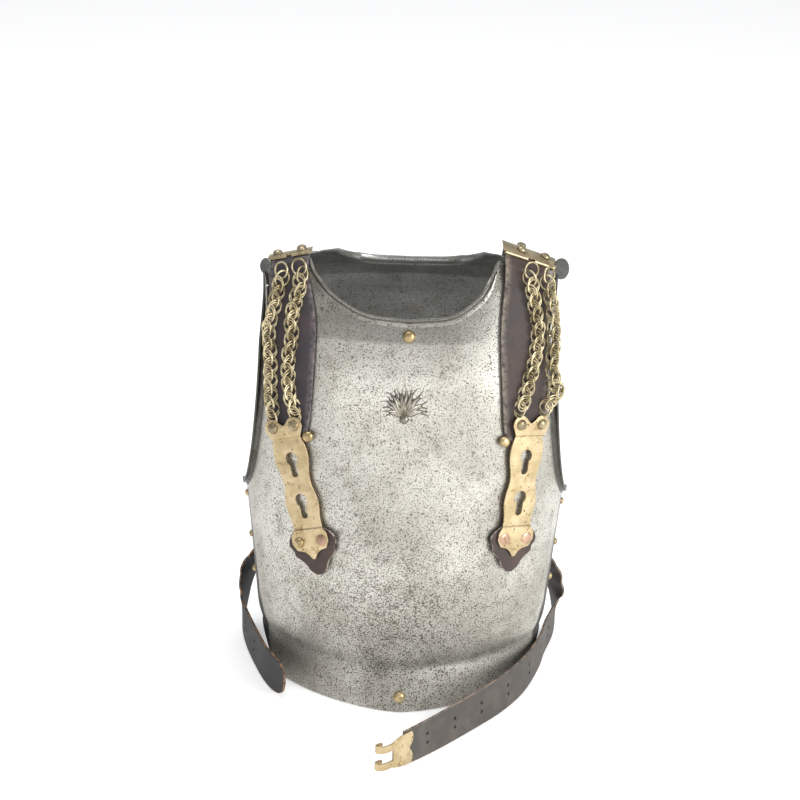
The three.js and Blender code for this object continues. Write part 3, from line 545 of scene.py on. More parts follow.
def brass_finish(name, light, dark, pitted=1.0):
    """Aged brass: uneven tan, browner where it has tarnished, with small black stains."""
    brass = Finish(name, 1.0)
    cloud = brass.noise(16, 5)
    stain = brass.noise(6, 5).between(0.56, 0.7)
    pits = brass.cells(3.6).between(0.26, 0.12) * brass.noise(9, 2).between(0.5, 0.6) * pitted
    colour = brass.mix(cloud.between(0.35, 0.65), dark, light)
    colour = brass.mix(stain * 0.55, colour, (0.2, 0.12, 0.05))
    brass.set("Base Color", brass.mix(pits, colour, (0.03, 0.02, 0.01)))
    brass.set("Roughness", 0.3 + cloud * 0.22 + pits * 0.3)
    brass.bump(1 - pits + brass.noise(3, 3) * 0.2, 0.2)
    return brass.material


SIDES = (("l", -1), ("r", 1))
CLEAR = 0.4                       # the gap left under a piece that lies on another
DOME = [(1, 0), (0.99, 0.12), (0.93, 0.38), (0.8, 0.62), (0.6, 0.82), (0.35, 0.95), (0.1, 1)]
STUD = [(0.5, 0), (0.5, 0.45), (0.95, 0.48), (1, 0.6), (0.9, 0.78), (0.6, 0.93), (0.2, 1)]

SIDE_RIVET_Z = (179, 136, 99)
SIDE_RIVET_IN = 7                 # from the plate's side edge
STUD_X, STUD_Z = 94, 276
NECK_RIVET_Z, HEM_RIVET_Z = 376, 15
HEM_SLOPE = 10 / 44               # how far the hem flares for each millimetre down

rivet_brass = brass_finish("rivet_brass", (0.55, 0.43, 0.24), (0.33, 0.25, 0.13), 0.4)
neck_head = stand(turned("neck_head", DOME, 6.4, 4.2), breast_frame(0, NECK_RIVET_Z, CLEAR))
hand_over(neck_head, ["neck_rivet"], rivet_brass)
hem_origin = Vector((0, HEM_RIVET_Z * HEM_SLOPE - RIM_FRONT, HEM_RIVET_Z))
hem_place = frame_of(hem_origin, Vector((0, -1, HEM_SLOPE)).normalized(), UP)
hem_head = stand(turned("hem_head", DOME, 6, 4.2), hem_place)
hand_over(hem_head, ["hem_rivet"], rivet_brass)

for side, sign in SIDES:
    for number, z in enumerate(SIDE_RIVET_Z, 1):
        section = section_at(BREAST_SECTIONS, z)
        _, _, front, back, full = section
        angle = sign * math.acos((SIDE_RIVET_IN / (back - front)) ** (full / 2))
        side_place = frame_of(section_point(section, angle), face_normal(BREAST_SECTIONS, z, angle), UP)
        side_head = stand(turned(f"side_head_{side}{number}", DOME, 3.6, 2.8, 16), side_place)
        hand_over(side_head, [f"side_rivet_{side}{number}"], rivet_brass)
    stud = stand(turned(f"stud_head_{side}", STUD, 5.6, 8.4), breast_frame(sign * STUD_X, STUD_Z, CLEAR))
    hand_over(stud, [f"keyhole_stud_{side}"], rivet_brass)

# ---- Badge ----
# A flaming grenade cast in steel and riveted on the chest: a small ball below a fan of wavy flames.
# Painted shade darkens the low skirts between the tongues, so that their narrow crests stand out bright.

BADGE_X, BADGE_Z = -2.5, 300.5


def lofted(name, rings):
    """A closed body through rings of points in millimetres that match one to one."""
    sides = len(rings[0])
    faces = [tuple(reversed(range(sides))), tuple(range((len(rings) - 1) * sides, len(rings) * sides))]
    for r in range(len(rings) - 1):
        for k in range(sides):
            a, b = r * sides + k, r * sides + (k + 1) % sides
            faces.append((a, b, b + sides, a + sides))
    mesh = bpy.data.meshes.new(name)
    mesh.from_pydata([world(p) for ring in rings for p in ring], [], faces)
    piece = bpy.data.objects.new(name, mesh)
    bpy.context.collection.objects.link(piece)
    face_outward(piece)
    return piece


def joined(pieces, name):
    """Makes one piece of several."""
    bpy.ops.object.select_all(action="DESELECT")
    for piece in pieces:
        piece.select_set(True)
    bpy.context.view_layer.objects.active = pieces[0]
    bpy.ops.object.join()
    pieces[0].name = name
    return pieces[0]


def on_badge(x, y, height):
    """A point over the middle of the badge's ball, on the chest."""
    return breast_frame(x + BADGE_X, BADGE_Z + y * 0.985, height + CLEAR).translation


def banded(piece, name, cycle):
    """Stores a number for each point, for the material to read, from a short cycle of values."""
    layer = piece.data.attributes.new(name, "FLOAT", "POINT")
    for i, item in enumerate(layer.data):
        item.value = cycle[i % len(cycle)]
    return piece


FLAME_STEPS = 14
FLAME_SECTION = [
    # across, height and painted shade of each point: a low skirt darkened with painted shade, with a narrow
    # bright ridge along it
    (-1, 0, 0.9), (1, 0, 0.9), (0.9, 0.3, 0.88), (0.4, 0.6, 0.55), (0, 1, 0),
    (-0.4, 0.6, 0.55), (-0.9, 0.3, 0.88),
]
FLAMES = [
    # tip x, tip y, wave, half width, height
    (-19.5, 2, 0.6, 2.2, 2.2), (-21.5, 6, -0.7, 2.2, 2.4), (-22, 10.5, 0.7, 2.3, 2.6),
    (-22.5, 17, 0.8, 2.5, 2.8), (-18, 20.5, -0.8, 2.4, 3), (-17.5, 26, 0.9, 2.6, 3),
    (-11, 28.5, -0.9, 2.5, 3.2), (-7.5, 30, 0.9, 2.4, 3.2), (-2.5, 32.5, -1, 2.5, 3.4),
    (1, 38, 1.3, 2.7, 3.5), (7.5, 31.5, 1, 2.4, 3.3), (11.5, 30, -1, 2.4, 3.2),
    (19, 27, 0.9, 2.5, 3), (18.5, 21.5, -0.8, 2.4, 3), (22, 15.5, 0.8, 2.5, 2.8),
    (22.5, 11, -0.7, 2.3, 2.6), (23, 7, 0.7, 2.3, 2.4), (24, 3, -0.6, 2.2, 2.2),
    (-13, 13, 0.6, 2, 3.4), (13, 13, -0.6, 2, 3.4), (-8, 18, -0.7, 2, 4),
    (-4, 24, 0.9, 2.2, 4.2), (1.5, 27, -0.9, 2.2, 4.3), (5, 22, 0.8, 2.1, 4.2),
    (9, 19, -0.7, 2, 4), (-3.5, 14, 0.4, 1.6, 4.8), (0, 15, -0.4, 1.6, 5), (3.5, 14, 0.4, 1.6, 4.8),
]


def flame(tip_x, tip_y, wave, half_width, height):
    """One tongue of flame, curving out from the ball and waving from side to side."""
    root, tip = Vector((tip_x * 0.1, 3)), Vector((tip_x, tip_y))
    bend = Vector((tip_x * 0.45, tip_y * 0.5 + 0.33 * abs(tip_x)))
    rings = []
    for i in range(FLAME_STEPS + 1):
        t = i / FLAME_STEPS
        run = (bend - root) * (1 - t) + (tip - bend) * t
        side = Vector((-run.y, run.x)).normalized()
        middle = root * (1 - t) ** 2 + bend * 2 * t * (1 - t) + tip * t * t
        middle += side * wave * math.sin(t * math.pi * 2.4)
        swell = 0.4 + 0.6 * math.sin(math.pi * min(t * 1.25, 1))
        width = 1.3 * half_width * swell * (1 - t * t) + 0.3
        crest = height * (1 - 0.72 * t * t)
        spots = [(middle + side * width * across, crest * rise) for across, rise, _ in FLAME_SECTION]
        rings.append([on_badge(spot.x, spot.y, rise) for spot, rise in spots])
    # Each tongue's skirt carries painted shade for the steel to read.
    return banded(lofted("flame", rings), "shade_and_grime", [skirt_shade for _, _, skirt_shade in FLAME_SECTION])


badge_steel = steel_finish("badge_steel", (0.72, 0.68, 0.6), (0.56, 0.52, 0.45), 0.1)
ball = stand(turned("ball", DOME, 4.8, 4.2), breast_frame(BADGE_X, BADGE_Z, CLEAR))
banded(ball, "shade_and_grime", (0.62,))
badge = joined([flame(*row) for row in FLAMES] + [ball], "badge_relief")
hand_over(badge, ["grenade_badge"], badge_steel, 50)

# ---- Keyhole clasps and pull tabs ----
# A sheet-brass clasp hangs from each pair of chains. Two lobes at its top cover the chains' last rings,
# two keyholes hook over the breast stud, and a leather pull tab is riveted under its foot.


def cut_plate(name, outline, holes, wall, edge):
    """A flat plate cut to an outline, with holes and rounded edges; its wall stands on z = 0."""
    curve = bpy.data.curves.new(name, "CURVE")
    curve.dimensions = "2D"
    curve.fill_mode = "BOTH"
    curve.extrude = wall / 2 - edge
    curve.bevel_depth = edge
    curve.bevel_resolution = 1
    curve.offset = -edge
    for loop in [outline] + holes:
        spline = curve.splines.new("POLY")
        spline.points.add(len(loop) - 1)
        spline.use_cyclic_u = True
        for point, (x, y) in zip(spline.points, loop):
            point.co = (x, y, 0, 1)
    piece = bpy.data.objects.new(name, curve)
    bpy.context.collection.objects.link(piece)
    bpy.ops.object.select_all(action="DESELECT")
    piece.select_set(True)
    bpy.context.view_layer.objects.active = piece
    bpy.ops.object.convert(target="MESH")
    piece = bpy.context.object
    face_outward(piece)
    piece.data.transform(Matrix.Translation((0, 0, wall / 2)))
    return piece


def curved(rows, steps):
    """The points of the smooth curve through a table's rows."""
    count = (len(rows) - 1) * steps
    return [along_rows(rows, i / count) for i in range(count + 1)]


def both_sides(right):
    """A closed outline from its right-hand half, given as half width and distance down."""
    return [(x, -down) for x, down in right] + [(-x, -down) for x, down in reversed(right)]


def keyhole(down, head, slot, drop):
    """A keyhole's outline: a round head, and the end of its narrow slot a drop below."""
    loop = []
    neck = math.degrees(math.asin(slot / head))
    for i in range(19):
        angle = math.radians(-90 + neck + (360 - 2 * neck) * i / 18)
        loop.append((head * math.cos(angle), -down + head * math.sin(angle)))
    for i in range(9):
        angle = math.radians(180 + 180 * i / 8)
        loop.append((slot * math.cos(angle), -down - drop + slot * math.sin(angle)))
    return loop


def stepped(piece, lines, height_at):
    """Cuts a plate across at these distances down, then bends it to a height for each distance down."""
    bpy.ops.object.mode_set(mode="EDIT")
    for down in lines:
        bpy.ops.mesh.select_all(action="SELECT")
        bpy.ops.mesh.bisect(plane_co=(0, -down, 0), plane_no=(0, 1, 0))
    bpy.ops.object.mode_set(mode="OBJECT")
    for vertex in piece.data.vertices:
        vertex.co.z += height_at(-vertex.co.y)
    return piece


CLASPS = {
    # x, z of its top and of its foot
    "l": ((-118, 284), (-84.5, 156)),
    "r": ((119, 294), (105.5, 158)),
}
CLASP_WALL, TAB_WALL = 1.6, 2.6
CLASP_MIDDLE = 67                 # from the notch between the lobes down to the clasp's middle
CLASP_LIFT = 3.4                  # the clasp lies on its tab
LOBE_X, LOBE_DOWN = 12.4, 1.5
TAIL_X, TAIL_DOWN = 13.2, 118
LOBE_STEP, FOOT_STEP = (12.2, 1.4), (104.4, 1.6)
KEYHOLES_DOWN = (34, 76)
KEYHOLE = (6.7, 3.9, 14.6)        # the head's radius, half the slot's width and the slot's drop
LOBES = [(1, 0)] + [
    (LOBE_X + 9 * math.cos(math.radians(a)), LOBE_DOWN - 9 * math.sin(math.radians(a)))
    for a in range(150, -11, -16)]
CLASP_BODY = [
    # half width, distance down from the notch between the lobes
    (16.4, 14), (18.8, 23), (19.4, 34), (17.6, 44), (15.7, 53), (15.7, 62), (18.3, 74), (18.7, 84),
    (16.6, 95), (16.6, 105),
]
CLASP_FOOT = [(20.8, 112), (21, 119), (17, 126), (9, 128), (5, 131), (1.5, 136)]
TAB = [
    (15, 106), (22, 110), (26.5, 116), (27, 122), (23.5, 127), (23, 132), (16, 138), (12, 143),
    (9.5, 148), (3, 153),
]
WASHER = [(0.98, 0), (1, 0.5), (0.9, 0.9), (0.3, 1)]
CLASP_DOME, CLASP_WASHER = (DOME, 5.6, 3.8), (WASHER, 6, 1.2)     # profile, radius, height


def clasp_bend(down):
    """The lobes stand up over the rings, and the foot is stepped up over its tab."""
    lobes = 1 - clamp((down - LOBE_STEP[0]) / LOBE_STEP[1])
    foot = clamp((down - FOOT_STEP[0]) / FOOT_STEP[1])
    return 1.5 * lobes + 1.2 * foot


def leather_finish(name, base, red, worn):
    """Old leather: dark and dry, its grain crazed and its edges rubbed pale."""
    hide = Finish(name, 0.0)
    cloud = hide.noise(22, 5)
    grain = hide.cells(1.4)
    rubbed = hide.attribute("worn") * hide.noise(5, 5).between(0.34, 0.62)
    scuffs = hide.noise(3.2, 4, (1, 1, 0.3)).between(0.68, 0.8)
    colour = hide.mix(cloud.between(0.4, 0.65), base, red)
    colour = hide.mix(scuffs * 0.2, colour, worn)
    hide.set("Base Color", hide.mix(rubbed * 0.75, colour, worn))
    hide.set("Roughness", 0.5 + cloud * 0.25)
    hide.bump(grain * 0.2 + hide.noise(7, 3), 0.25)
    return hide.material


def rubbed_edge(plate, wall):
    """Stores where a cut plate is rubbed pale: round its edge, but not on its two faces."""
    layer = plate.data.attributes.new("worn", "FLOAT", "POINT")
    for vertex, item in zip(plate.data.vertices, layer.data):
        item.value = float(0.1 < vertex.co.z < wall - 0.1)
    return plate


head_bronze = brass_finish("head_bronze", (0.45, 0.39, 0.25), (0.22, 0.18, 0.11))
clasp_brass = brass_finish("clasp_brass", (0.62, 0.5, 0.31), (0.48, 0.375, 0.21))
copper = brass_finish("copper", (0.64, 0.42, 0.31), (0.36, 0.23, 0.16), 0.3)
tab_hide = leather_finish("tab_hide", (0.042, 0.027, 0.023), (0.066, 0.04, 0.032), (0.46, 0.38, 0.3))
clasp_outline = both_sides(LOBES + curved(CLASP_BODY, 4) + CLASP_FOOT)
clasp_holes = [keyhole(down, *KEYHOLE) for down in KEYHOLES_DOWN]
clasp_cuts = [down for start, run in (LOBE_STEP, FOOT_STEP) for down in (start, start + run)]
for side, outward in SIDES:
    (top_x, top_z), (foot_x, foot_z) = CLASPS[side]
    hang = breast_frame(top_x, top_z).translation - breast_frame(foot_x, foot_z).translation
    place = breast_frame((top_x + foot_x) / 2, (top_z + foot_z) / 2, 0, hang)
    place = place @ Matrix.Translation((0, CLASP_MIDDLE, 0))

    clasp = cut_plate(f"clasp_{side}", clasp_outline, clasp_holes, CLASP_WALL, 0.35)
    stepped(clasp, clasp_cuts, clasp_bend)
    stand(clasp, place @ Matrix.Translation((0, 0, CLASP_LIFT)))
    hand_over(clasp, [f"keyhole_clasp_{side}"], clasp_brass, 30)

    tab = cut_plate(f"tab_{side}", both_sides(curved(TAB, 3)), [], TAB_WALL, 0.6)
    stand(rubbed_edge(tab, TAB_WALL), place @ Matrix.Translation((0, 0, CLEAR)))
    hand_over(tab, [f"pull_tab_{side}"], tab_hide, 30)

    for where, sign in (("outer", outward), ("inner", -outward)):
        lobe_place = place @ Matrix.Translation((sign * LOBE_X, -LOBE_DOWN, 6.2))
        lobe_head = stand(turned(f"lobe_head_{side}_{where}", *CLASP_DOME), lobe_place)
        hand_over(lobe_head, [f"lobe_rivet_{side}_{where}"], head_bronze)

        # Three of the four rivets at the feet are flat copper washers, and the left outer one is domed brass.
        domed = (side, where) == ("l", "outer")
        head = CLASP_DOME if domed else CLASP_WASHER
        slot, metal = ("brass_rivet", rivet_brass) if domed else ("copper", copper)
        foot_place = place @ Matrix.Translation((sign * TAIL_X, -TAIL_DOWN, 6))
        foot_head = stand(turned(f"foot_head_{side}_{where}", *head), foot_place)
        hand_over(foot_head, [f"tail_rivet_{side}_{where}"], metal)

# ---- Shoulder leathers ----
# A thick strap over each shoulder, fixed behind and hanging free down the front to a rounded end.
# The left one has settled a little lower than the right.

CROWN = [
    # y, z, and how far y moves back for each millimetre out from the inner edge
    (-63, 439.5, 0.27), (-47, 447.3, 0.3), (-28, 447.3, 0.28), (-12, 442.5, 0.22), (6, 434.5, 0.12),
    (24, 424, -0.05), (42, 413, -0.2), (57, 400.5, -0.42),
]
SAG = {"l": 10, "r": 0}           # how far it has settled
SLOPE = {"l": 0.31, "r": 0.42}    # how far it falls for each millimetre outward
CROWN_INNER, CROWN_OUTER = {"l": 99, "r": 91.5}, 135
LEATHER_WALL = 2.6
LEATHER_COLUMNS = 14
LEATHER_EDGES = [
    # z, inner x, outer x
    (273, 104, 128), (278, 98, 132), (288, 94, 135), (330, 91, 134.5), (375, 89, 133.5), (403, 91, 135),
    (424, 94.5, CROWN_OUTER),
]


def crown_point(side, x, s):
    """A point over a shoulder: s from front to back, x outward from the centre line."""
    y, z, shift = along_rows(CROWN, s)
    out = x - SHOULDER_IN
    sag = SAG[side] * math.sin(math.pi * min(s * 1.4, 1))
    return Vector((x if side == "r" else -x, y + shift * out, z - SLOPE[side] * out - sag))


def crown_frame(side, x, s, lift):
    """A frame over a shoulder, y along the strap and z off it."""
    along = crown_point(side, x, s + 0.02) - crown_point(side, x, s - 0.02)
    across = crown_point(side, x + 1, s) - crown_point(side, x - 1, s)
    outward = across.cross(along).normalized() * (1 if side == "r" else -1)
    return frame_of(crown_point(side, x, s) + outward * lift, outward, along)


def leather_point(side, u, v):
    """The outer face of a leather: u across, v from its front end over the shoulder."""
    share, sign = (u, 1) if side == "r" else (1 - u, -1)
    lower, upper = min(v / 0.48, 1), max((v - 0.52) / 0.48, 0)
    z, inner, outer = along_rows(LEATHER_EDGES, lower)
    top = CROWN_INNER[side]
    inner += (top - LEATHER_EDGES[-1][1]) * lower ** 4
    x = inner + (outer - inner) * share
    front = breast_frame(sign * x, z - 0.1 * lower * (x - inner), LEATHER_WALL + 2).translation
    if v <= 0.48:
        return front
    over = crown_frame(side, top + (CROWN_OUTER - top) * share, max(upper, 0.02), LEATHER_WALL).translation
    return front.lerp(over, (v - 0.48) / 0.04) if v < 0.52 else over


def strap_wear(u, v, point):
    """Rubbed along both long edges."""
    return max(0.0, 1 - min(u, 1 - u) * 9)


LEATHERS = {
    # slot, finish, and its base, reddish and worn colours
    "l": ("dark_leather", "dark_hide", (0.03, 0.025, 0.03), (0.05, 0.035, 0.04), (0.2, 0.17, 0.17)),
    "r": ("brown_leather", "brown_hide", (0.03, 0.021, 0.018), (0.052, 0.032, 0.026), (0.3, 0.25, 0.2)),
}
for side, (slot, *finish) in LEATHERS.items():
    leather = sheet(f"leather_{side}", LEATHER_COLUMNS, 90, lambda u, v: leather_point(side, u, v))
    mark(leather, "worn", LEATHER_COLUMNS, strap_wear)
    walled(leather, LEATHER_WALL, 0.5)
    hand_over(leather, [f"shoulder_leather_{side}"], leather_finish(*finish), 50)

# ---- Anchor plates ----
# A brass plate is riveted over the top of each leather. Its front edge is rolled into bars that hold the
# chains' first rings, and a grey iron disc stands on its outer end.

ANCHOR_SPAN = {"l": (139, 96), "r": (88, 141)}           # x of the plate's two side edges
BARS = {"l": ((98, 115), (120, 137)), "r": ((90, 112), (119, 139))}
ANCHOR_RIVETS = ((106, 0.2), (107, 0.35), (130, 0.22))   # x, and the share of the way over the shoulder
DISCS = {"l": ((-141, -39, 424.5), 8), "r": ((147.5, -28, 426), 10.5)}    # middle, radius
DISC_PROFILE = [(0.97, 0), (1, 0.2), (1, 0.7), (0.94, 0.95), (0.2, 1)]
iron = steel_finish("iron", (0.26, 0.26, 0.25), (0.14, 0.14, 0.135))
anchor_brass = brass_finish("anchor_brass", (0.56, 0.47, 0.3), (0.38, 0.3, 0.18))


def anchor_point(side, u, v):
    """The outer face of an anchor plate, lying on its leather."""
    start, end = ANCHOR_SPAN[side]
    return crown_frame(side, start + (end - start) * u, 0.13 + 0.29 * v, 4.6).translation


def rod(name, points, radius, sides=12):
    """A round bar through points, in millimetres."""
    rings = []
    for i, point in enumerate(points):
        heading = points[min(i + 1, len(points) - 1)] - points[max(i - 1, 0)]
        place = frame_of(point, heading.normalized(), Vector((0.1, 0.2, 1)))
        turns = [math.tau * k / sides for k in range(sides)]
        rings.append([place @ Vector((radius * math.cos(a), radius * math.sin(a), 0)) for a in turns])
    return lofted(name, rings)


for side, sign in SIDES:
    pieces = [walled(sheet(f"anchor_{side}", 16, 10, lambda u, v: anchor_point(side, u, v)), 1.6, 0.4)]
    for start, end in BARS[side]:
        line = [crown_frame(side, start + (end - start) * i / 6, 0.115, 3.6).translation for i in range(7)]
        pieces.append(rod("bar", line, 1.9))
    hand_over(joined(pieces, f"anchor_{side}"), [f"anchor_plate_{side}"], anchor_brass)

    for number, (x, s) in enumerate(ANCHOR_RIVETS, 1):
        anchor_head = stand(turned(f"anchor_head_{side}{number}", DOME, 5, 3.8), crown_frame(side, x, s, 5))
        hand_over(anchor_head, [f"anchor_rivet_{side}{number}"], head_bronze)

    middle, radius = DISCS[side]
    disc_place = frame_of(Vector(middle), Vector((sign * 0.66, -0.72, 0.22)).normalized(), UP)
    disc = stand(turned(f"disc_{side}", DISC_PROFILE, radius, 2.2), disc_place)
    hand_over(disc, [f"shoulder_disc_{side}"], iron)

# ---- Chains ----
# Two strands of brass wire chain hang down each shoulder, two rings through two, each pair of rings
# leaning the other way from the last. The outer right strand is twisted.

CHAINS = {
    # x, z, height over the underside of the leather
    "l_outer": [
        (-121, 424, 10), (-125, 405, 9.5), (-129, 387, 9), (-132, 371, 10), (-131, 355, 9.5),
        (-130, 335, 9), (-129.5, 308, 8.5), (-126, 287, 7.5)],
    "l_inner": [
        (-105, 429, 10), (-105, 414, 9), (-109, 399, 8), (-112, 382, 8), (-111.5, 366, 8), (-113.5, 345, 8),
        (-112, 316, 8), (-104, 293, 7.5)],
    "r_inner": [
        (113, 431, 11), (116, 414, 9), (120, 394, 8), (122.5, 374, 8), (120, 350, 8), (115, 330, 8),
        (107, 302, 7.5)],
    "r_outer": [
        (128.5, 425, 11.5), (131, 411, 10.5), (134, 392, 11.5), (135, 373, 12), (135, 355, 11),
        (135, 338, 10.5), (138, 324, 11.5), (140, 315, 11.5), (134, 308, 10), (131, 301, 8)],
}
PAIR_PITCH = 7.3
ROUTE_STEPS = 240
LEANS = (16, -66)                 # degrees about the strand, for the even and the odd pairs
SIDE_SHIFT = 3.2                  # how far the odd pairs sit to one side
FIRST_RING, RING = (8, 1.0), (7, 0.8)     # radius, and the wire's radius


def chain_route(rows):
    """Frames every pair pitch along a strand, z along the strand and y off the leather."""
    points, outs = [], []
    for i in range(ROUTE_STEPS + 1):
        x, z, lift = along_rows(rows, i / ROUTE_STEPS)
        place = breast_frame(x, z, lift + 2)
        points.append(place.translation)
        outs.append(place.col[2].to_3d())
    frames, walked = [], 0.0
    for i in range(1, ROUTE_STEPS + 1):
        walked += (points[i] - points[i - 1]).length
        if walked >= PAIR_PITCH * len(frames):
            frames.append(frame_of(points[i], (points[i] - points[i - 1]).normalized(), outs[i]))
    return frames


def ring(frame_at, lean, radius, wire):
    """A wire ring in a frame on the strand, turned about the strand by its lean."""
    bpy.ops.mesh.primitive_torus_add(
        major_segments=20, minor_segments=7, major_radius=radius, minor_radius=wire)
    turn = Matrix.Rotation(math.radians(lean), 4, "Z") @ Matrix.Rotation(math.radians(100), 4, "X")
    return stand(bpy.context.object, frame_at @ turn)


chain_brass = brass_finish("chain_brass", (0.74, 0.65, 0.43), (0.34, 0.28, 0.16), 0.3)
dice = random.Random(7)
for strand, rows in CHAINS.items():
    slack = 9 if strand == "r_outer" else 4
    mirror = 1 if strand[0] == "l" else -1
    rings = []
    for i, place in enumerate(chain_route(rows)):
        first = i < 2
        for half in (0,) if first else (-1, 1):
            lean = mirror * LEANS[i % 2] + dice.uniform(-slack, slack)
            along = half * 1.3 + dice.uniform(-0.2, 0.2)
            spot = Matrix.Translation((mirror * SIDE_SHIFT * (i % 2), 0, along))
            rings.append(ring(place @ spot, lean, *(FIRST_RING if first else RING)))
    hand_over(joined(rings, f"strand_{strand}"), [f"chain_{strand}"], chain_brass, 80)

# ---- Waist belt ----
# Two belt ends fixed behind and hanging open: the near-black left one ends in a rounded tip, and the
# longer brown right one lies on its edge across the floor. Both are punched with pairs of small holes.

BELTS = {
    # middle x, y, z, then the width's direction: outward, forward, up
    "l": [
        (-117, 67, 110, -0.05, 0.2, 0.98), (-136, 44, 107, 0, 0.45, 0.87),
        (-143, 18, 99, -0.1, 0.6, 0.78), (-149, 14, 88, -0.15, 0.65, 0.72),
        (-159, 18, 68, -0.12, 0.7, 0.7), (-164, 18, 44, -0.08, 0.6, 0.8), (-165, 2, 24, 0, 0.25, 0.97),
        (-157, -32, 19.3, 0.03, 0, 1), (-145.5, -72, 19.3, 0.05, 0, 1),
        (-133.5, -107, 19.3, 0.05, 0, 1), (-115, -142, 19.3, 0.05, 0, 1),
    ],
    "r": [
        (117, 67, 110, 0.05, 0.2, 0.98), (136, 44, 107, 0, 0.45, 0.87), (143, 18, 99, 0.1, 0.6, 0.78),
        (149, 16, 86, 0.15, 0.65, 0.72), (156, 22, 68, 0.12, 0.7, 0.7), (161, 27, 45, 0.1, 0.6, 0.8),
        (160, 13, 24, 0, 0.25, 0.97), (150, -22, 19.3, 0.03, 0, 1), (141.5, -62, 19.3, 0.03, 0, 1),
        (124, -112, 19.3, -0.05, 0, 1), (101, -153, 19.3, -0.1, 0, 0.99),
        (75, -188, 19.2, -0.12, 0.05, 0.99), (43, -227, 19, -0.15, 0.1, 0.98),
        (20, -253, 18.7, -0.2, 0.2, 0.96), (5, -268, 18.3, -0.25, 0.3, 0.92),
    ],
}
BELT_WIDTH = 38
BELT_WALL = 2.8
BELT_STEPS = 150
TIP_STEPS = 11                    # the rounded tip's share of those
BELT_WEAR = (1, 0, 0, 0, 0, 0, 0, 1)     # across each face: rubbed at both its edges
HOLE_SIDE = 4.8                   # the holes' distance from the belt's middle
HOLES = {"l": (0.661, 0.771), "r": (0.481, 0.559, 0.619, 0.694, 0.771, 0.831, 0.903)}


def belt_frame(rows, u):
    """A frame on a belt's middle: x across its wall, y along its width, z along its length."""
    x, y, z, out, forward, up = along_rows(rows, u)
    near, before = along_rows(rows, u + 0.01), along_rows(rows, u - 0.01)
    heading = (Vector(near[:3]) - Vector(before[:3])).normalized()
    place = frame_of(Vector((x, y, z)), heading, Vector((out, -forward, up)))
    reach = abs(place.col[1].z) * BELT_WIDTH / 2 + abs(place.col[0].z) * BELT_WALL / 2
    place.translation.z = max(z, reach + CLEAR)
    return place


def belt(name, rows, round_end):
    """A strap swept along its route, with rounded edges."""
    rings = []
    for i in range(BELT_STEPS + 1):
        u = i / BELT_STEPS
        from_end = (1 - u) * BELT_STEPS / TIP_STEPS
        end = math.sqrt(1 - (1 - from_end) ** 2) * 0.95 + 0.05 if round_end and from_end < 1 else 1
        half, wall, place = BELT_WIDTH / 2 * end, BELT_WALL / 2, belt_frame(rows, u)
        face = [half * share for share in (-0.96, -0.88, -0.3, 0.3, 0.88, 0.96)]
        outline = [(0.5 - wall, -half)] + [(-wall, w) for w in face] + [(0.5 - wall, half)]
        outline += [(-a, b) for a, b in reversed(outline)]
        rings.append([place @ Vector((a, b, 0)) for a, b in outline])
    return banded(lofted(name, rings), "worn", BELT_WEAR)


def punch(strap, rows, stations):
    """Punches a pair of round holes across the strap at each station."""
    cutters = []
    for u in stations:
        for across in (-HOLE_SIDE, HOLE_SIDE):
            bpy.ops.mesh.primitive_cylinder_add(vertices=14, radius=1.9, depth=12)
            turn = Matrix.Translation((0, across, 0)) @ Matrix.Rotation(math.radians(90), 4, "Y")
            cutters.append(stand(bpy.context.object, belt_frame(rows, u) @ turn))
    cutter = joined(cutters, "cutter")
    apply(strap, "BOOLEAN", object=cutter, operation="DIFFERENCE", solver="EXACT")
    bpy.data.objects.remove(cutter)


BELT_HIDES = {
    # slot, finish, and its base, reddish and worn colours
    "l": ("black_leather", "black_hide", (0.012, 0.011, 0.011), (0.02, 0.018, 0.018), (0.3, 0.16, 0.07)),
    "r": ("belt_leather", "belt_hide", (0.055, 0.047, 0.04), (0.085, 0.072, 0.06), (0.3, 0.22, 0.16)),
}
for side, rows in BELTS.items():
    strap = belt(f"belt_{side}", rows, side == "l")
    punch(strap, rows, HOLES[side])
    slot, *finish = BELT_HIDES[side]
    hand_over(strap, [f"waist_strap_{side}"], leather_finish(*finish), 40)
    fixed = belt_frame(rows, 0.035)
    through = fixed.col[0].to_3d() * math.copysign(1, fixed.col[0].y)
    head_at = fixed.translation + through * (BELT_WALL / 2 + CLEAR)
    head_place = frame_of(head_at, through, fixed.col[1].to_3d())
    belt_head = stand(turned(f"belt_head_{side}", DOME, 5, 3), head_place)
    hand_over(belt_head, [f"belt_rivet_{side}"], rivet_brass)

# ---- Hook plate ----
# A brass plate folded over the right belt's end and riveted, with two hooks curled under at its tip.
# Its form is the frame's own, with its edges broken.

hook = frame["nodes"]["hook_plate"].copy()
hook.data = hook.data.copy()
hook.name = "hook"
bpy.context.collection.objects.link(hook)
face_outward(hook)
apply(hook, "BEVEL", width=0.0005, segments=2, limit_method="ANGLE", angle_limit=math.radians(40))
hand_over(hook, ["hook_plate"], clasp_brass)

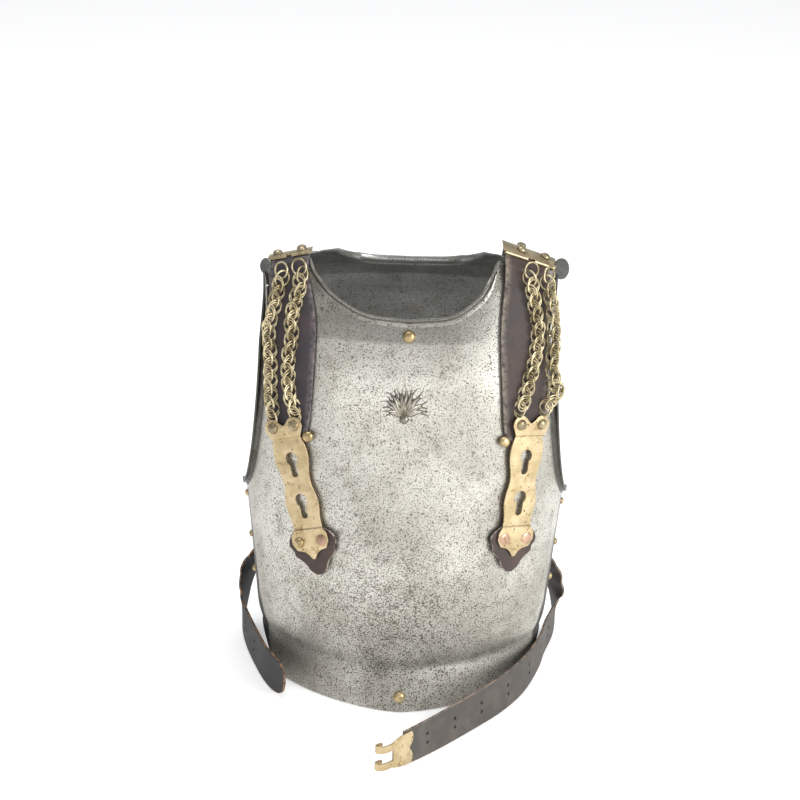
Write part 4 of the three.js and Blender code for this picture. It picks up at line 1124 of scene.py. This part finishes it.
# ---- Camera, floor and light ----
# The camera looks down on the front. The cuirass stands on a pale floor, under a wide soft light in
# front, a key light from the right and one overhead.

camera_data = bpy.data.cameras.new("camera")
camera_data.lens = 124.2
camera_data.sensor_width = 36
camera = bpy.data.objects.new("camera", camera_data)
bpy.context.collection.objects.link(camera)
camera.location = world((-7.04, -2596.1, 1319.8))
camera.rotation_mode = "QUATERNION"
tilt, roll = Matrix.Rotation(math.radians(68), 4, "X"), Matrix.Rotation(math.radians(1.54), 4, "Z")
camera.rotation_quaternion = (tilt @ roll).to_quaternion()
bpy.context.scene.camera = camera

paper = Finish("paper", 0.0)
paper.set("Base Color", (0.9, 0.9, 0.9))
paper.set("Roughness", 0.9)
paper.set("Emission Color", (1.0, 1.0, 1.0))
paper.shader.inputs["Emission Strength"].default_value = 0.3
bpy.ops.mesh.primitive_plane_add(size=40, location=(0, 0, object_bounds()[0].z))
floor = bpy.context.object
floor.name = "floor"
floor.data.materials.append(paper.material)

scene_world = bpy.data.worlds.new("studio")
bpy.context.scene.world = scene_world
scene_world.use_nodes = True
scene_world.node_tree.nodes["Background"].inputs["Color"].default_value = (0.97, 0.98, 1, 1)
scene_world.node_tree.nodes["Background"].inputs["Strength"].default_value = 0.55
bpy.context.scene.view_settings.view_transform = "Standard"

LIGHTS = [
    # name, place, aimed at, watts, width and height in metres
    ("front", (-100, -3400, 960), (0, 0, 250), 28, 4.8, 0.95),
    ("key", (2100, -1500, 1300), (0, 0, 250), 58, 1.2, 1.4),
    ("top", (-200, 200, 2600), (0, 0, 0), 36, 1.8, 1.8),
]
for name, place, aim, watts, width, height in LIGHTS:
    light = bpy.data.lights.new(name, "AREA")
    light.energy = watts
    light.shape = "RECTANGLE"
    light.size, light.size_y = width, height
    lamp = bpy.data.objects.new(name, light)
    bpy.context.collection.objects.link(lamp)
    lamp.location = world(place)
    lamp.rotation_mode = "QUATERNION"
    lamp.rotation_quaternion = (world(aim) - world(place)).to_track_quat("-Z", "Y")
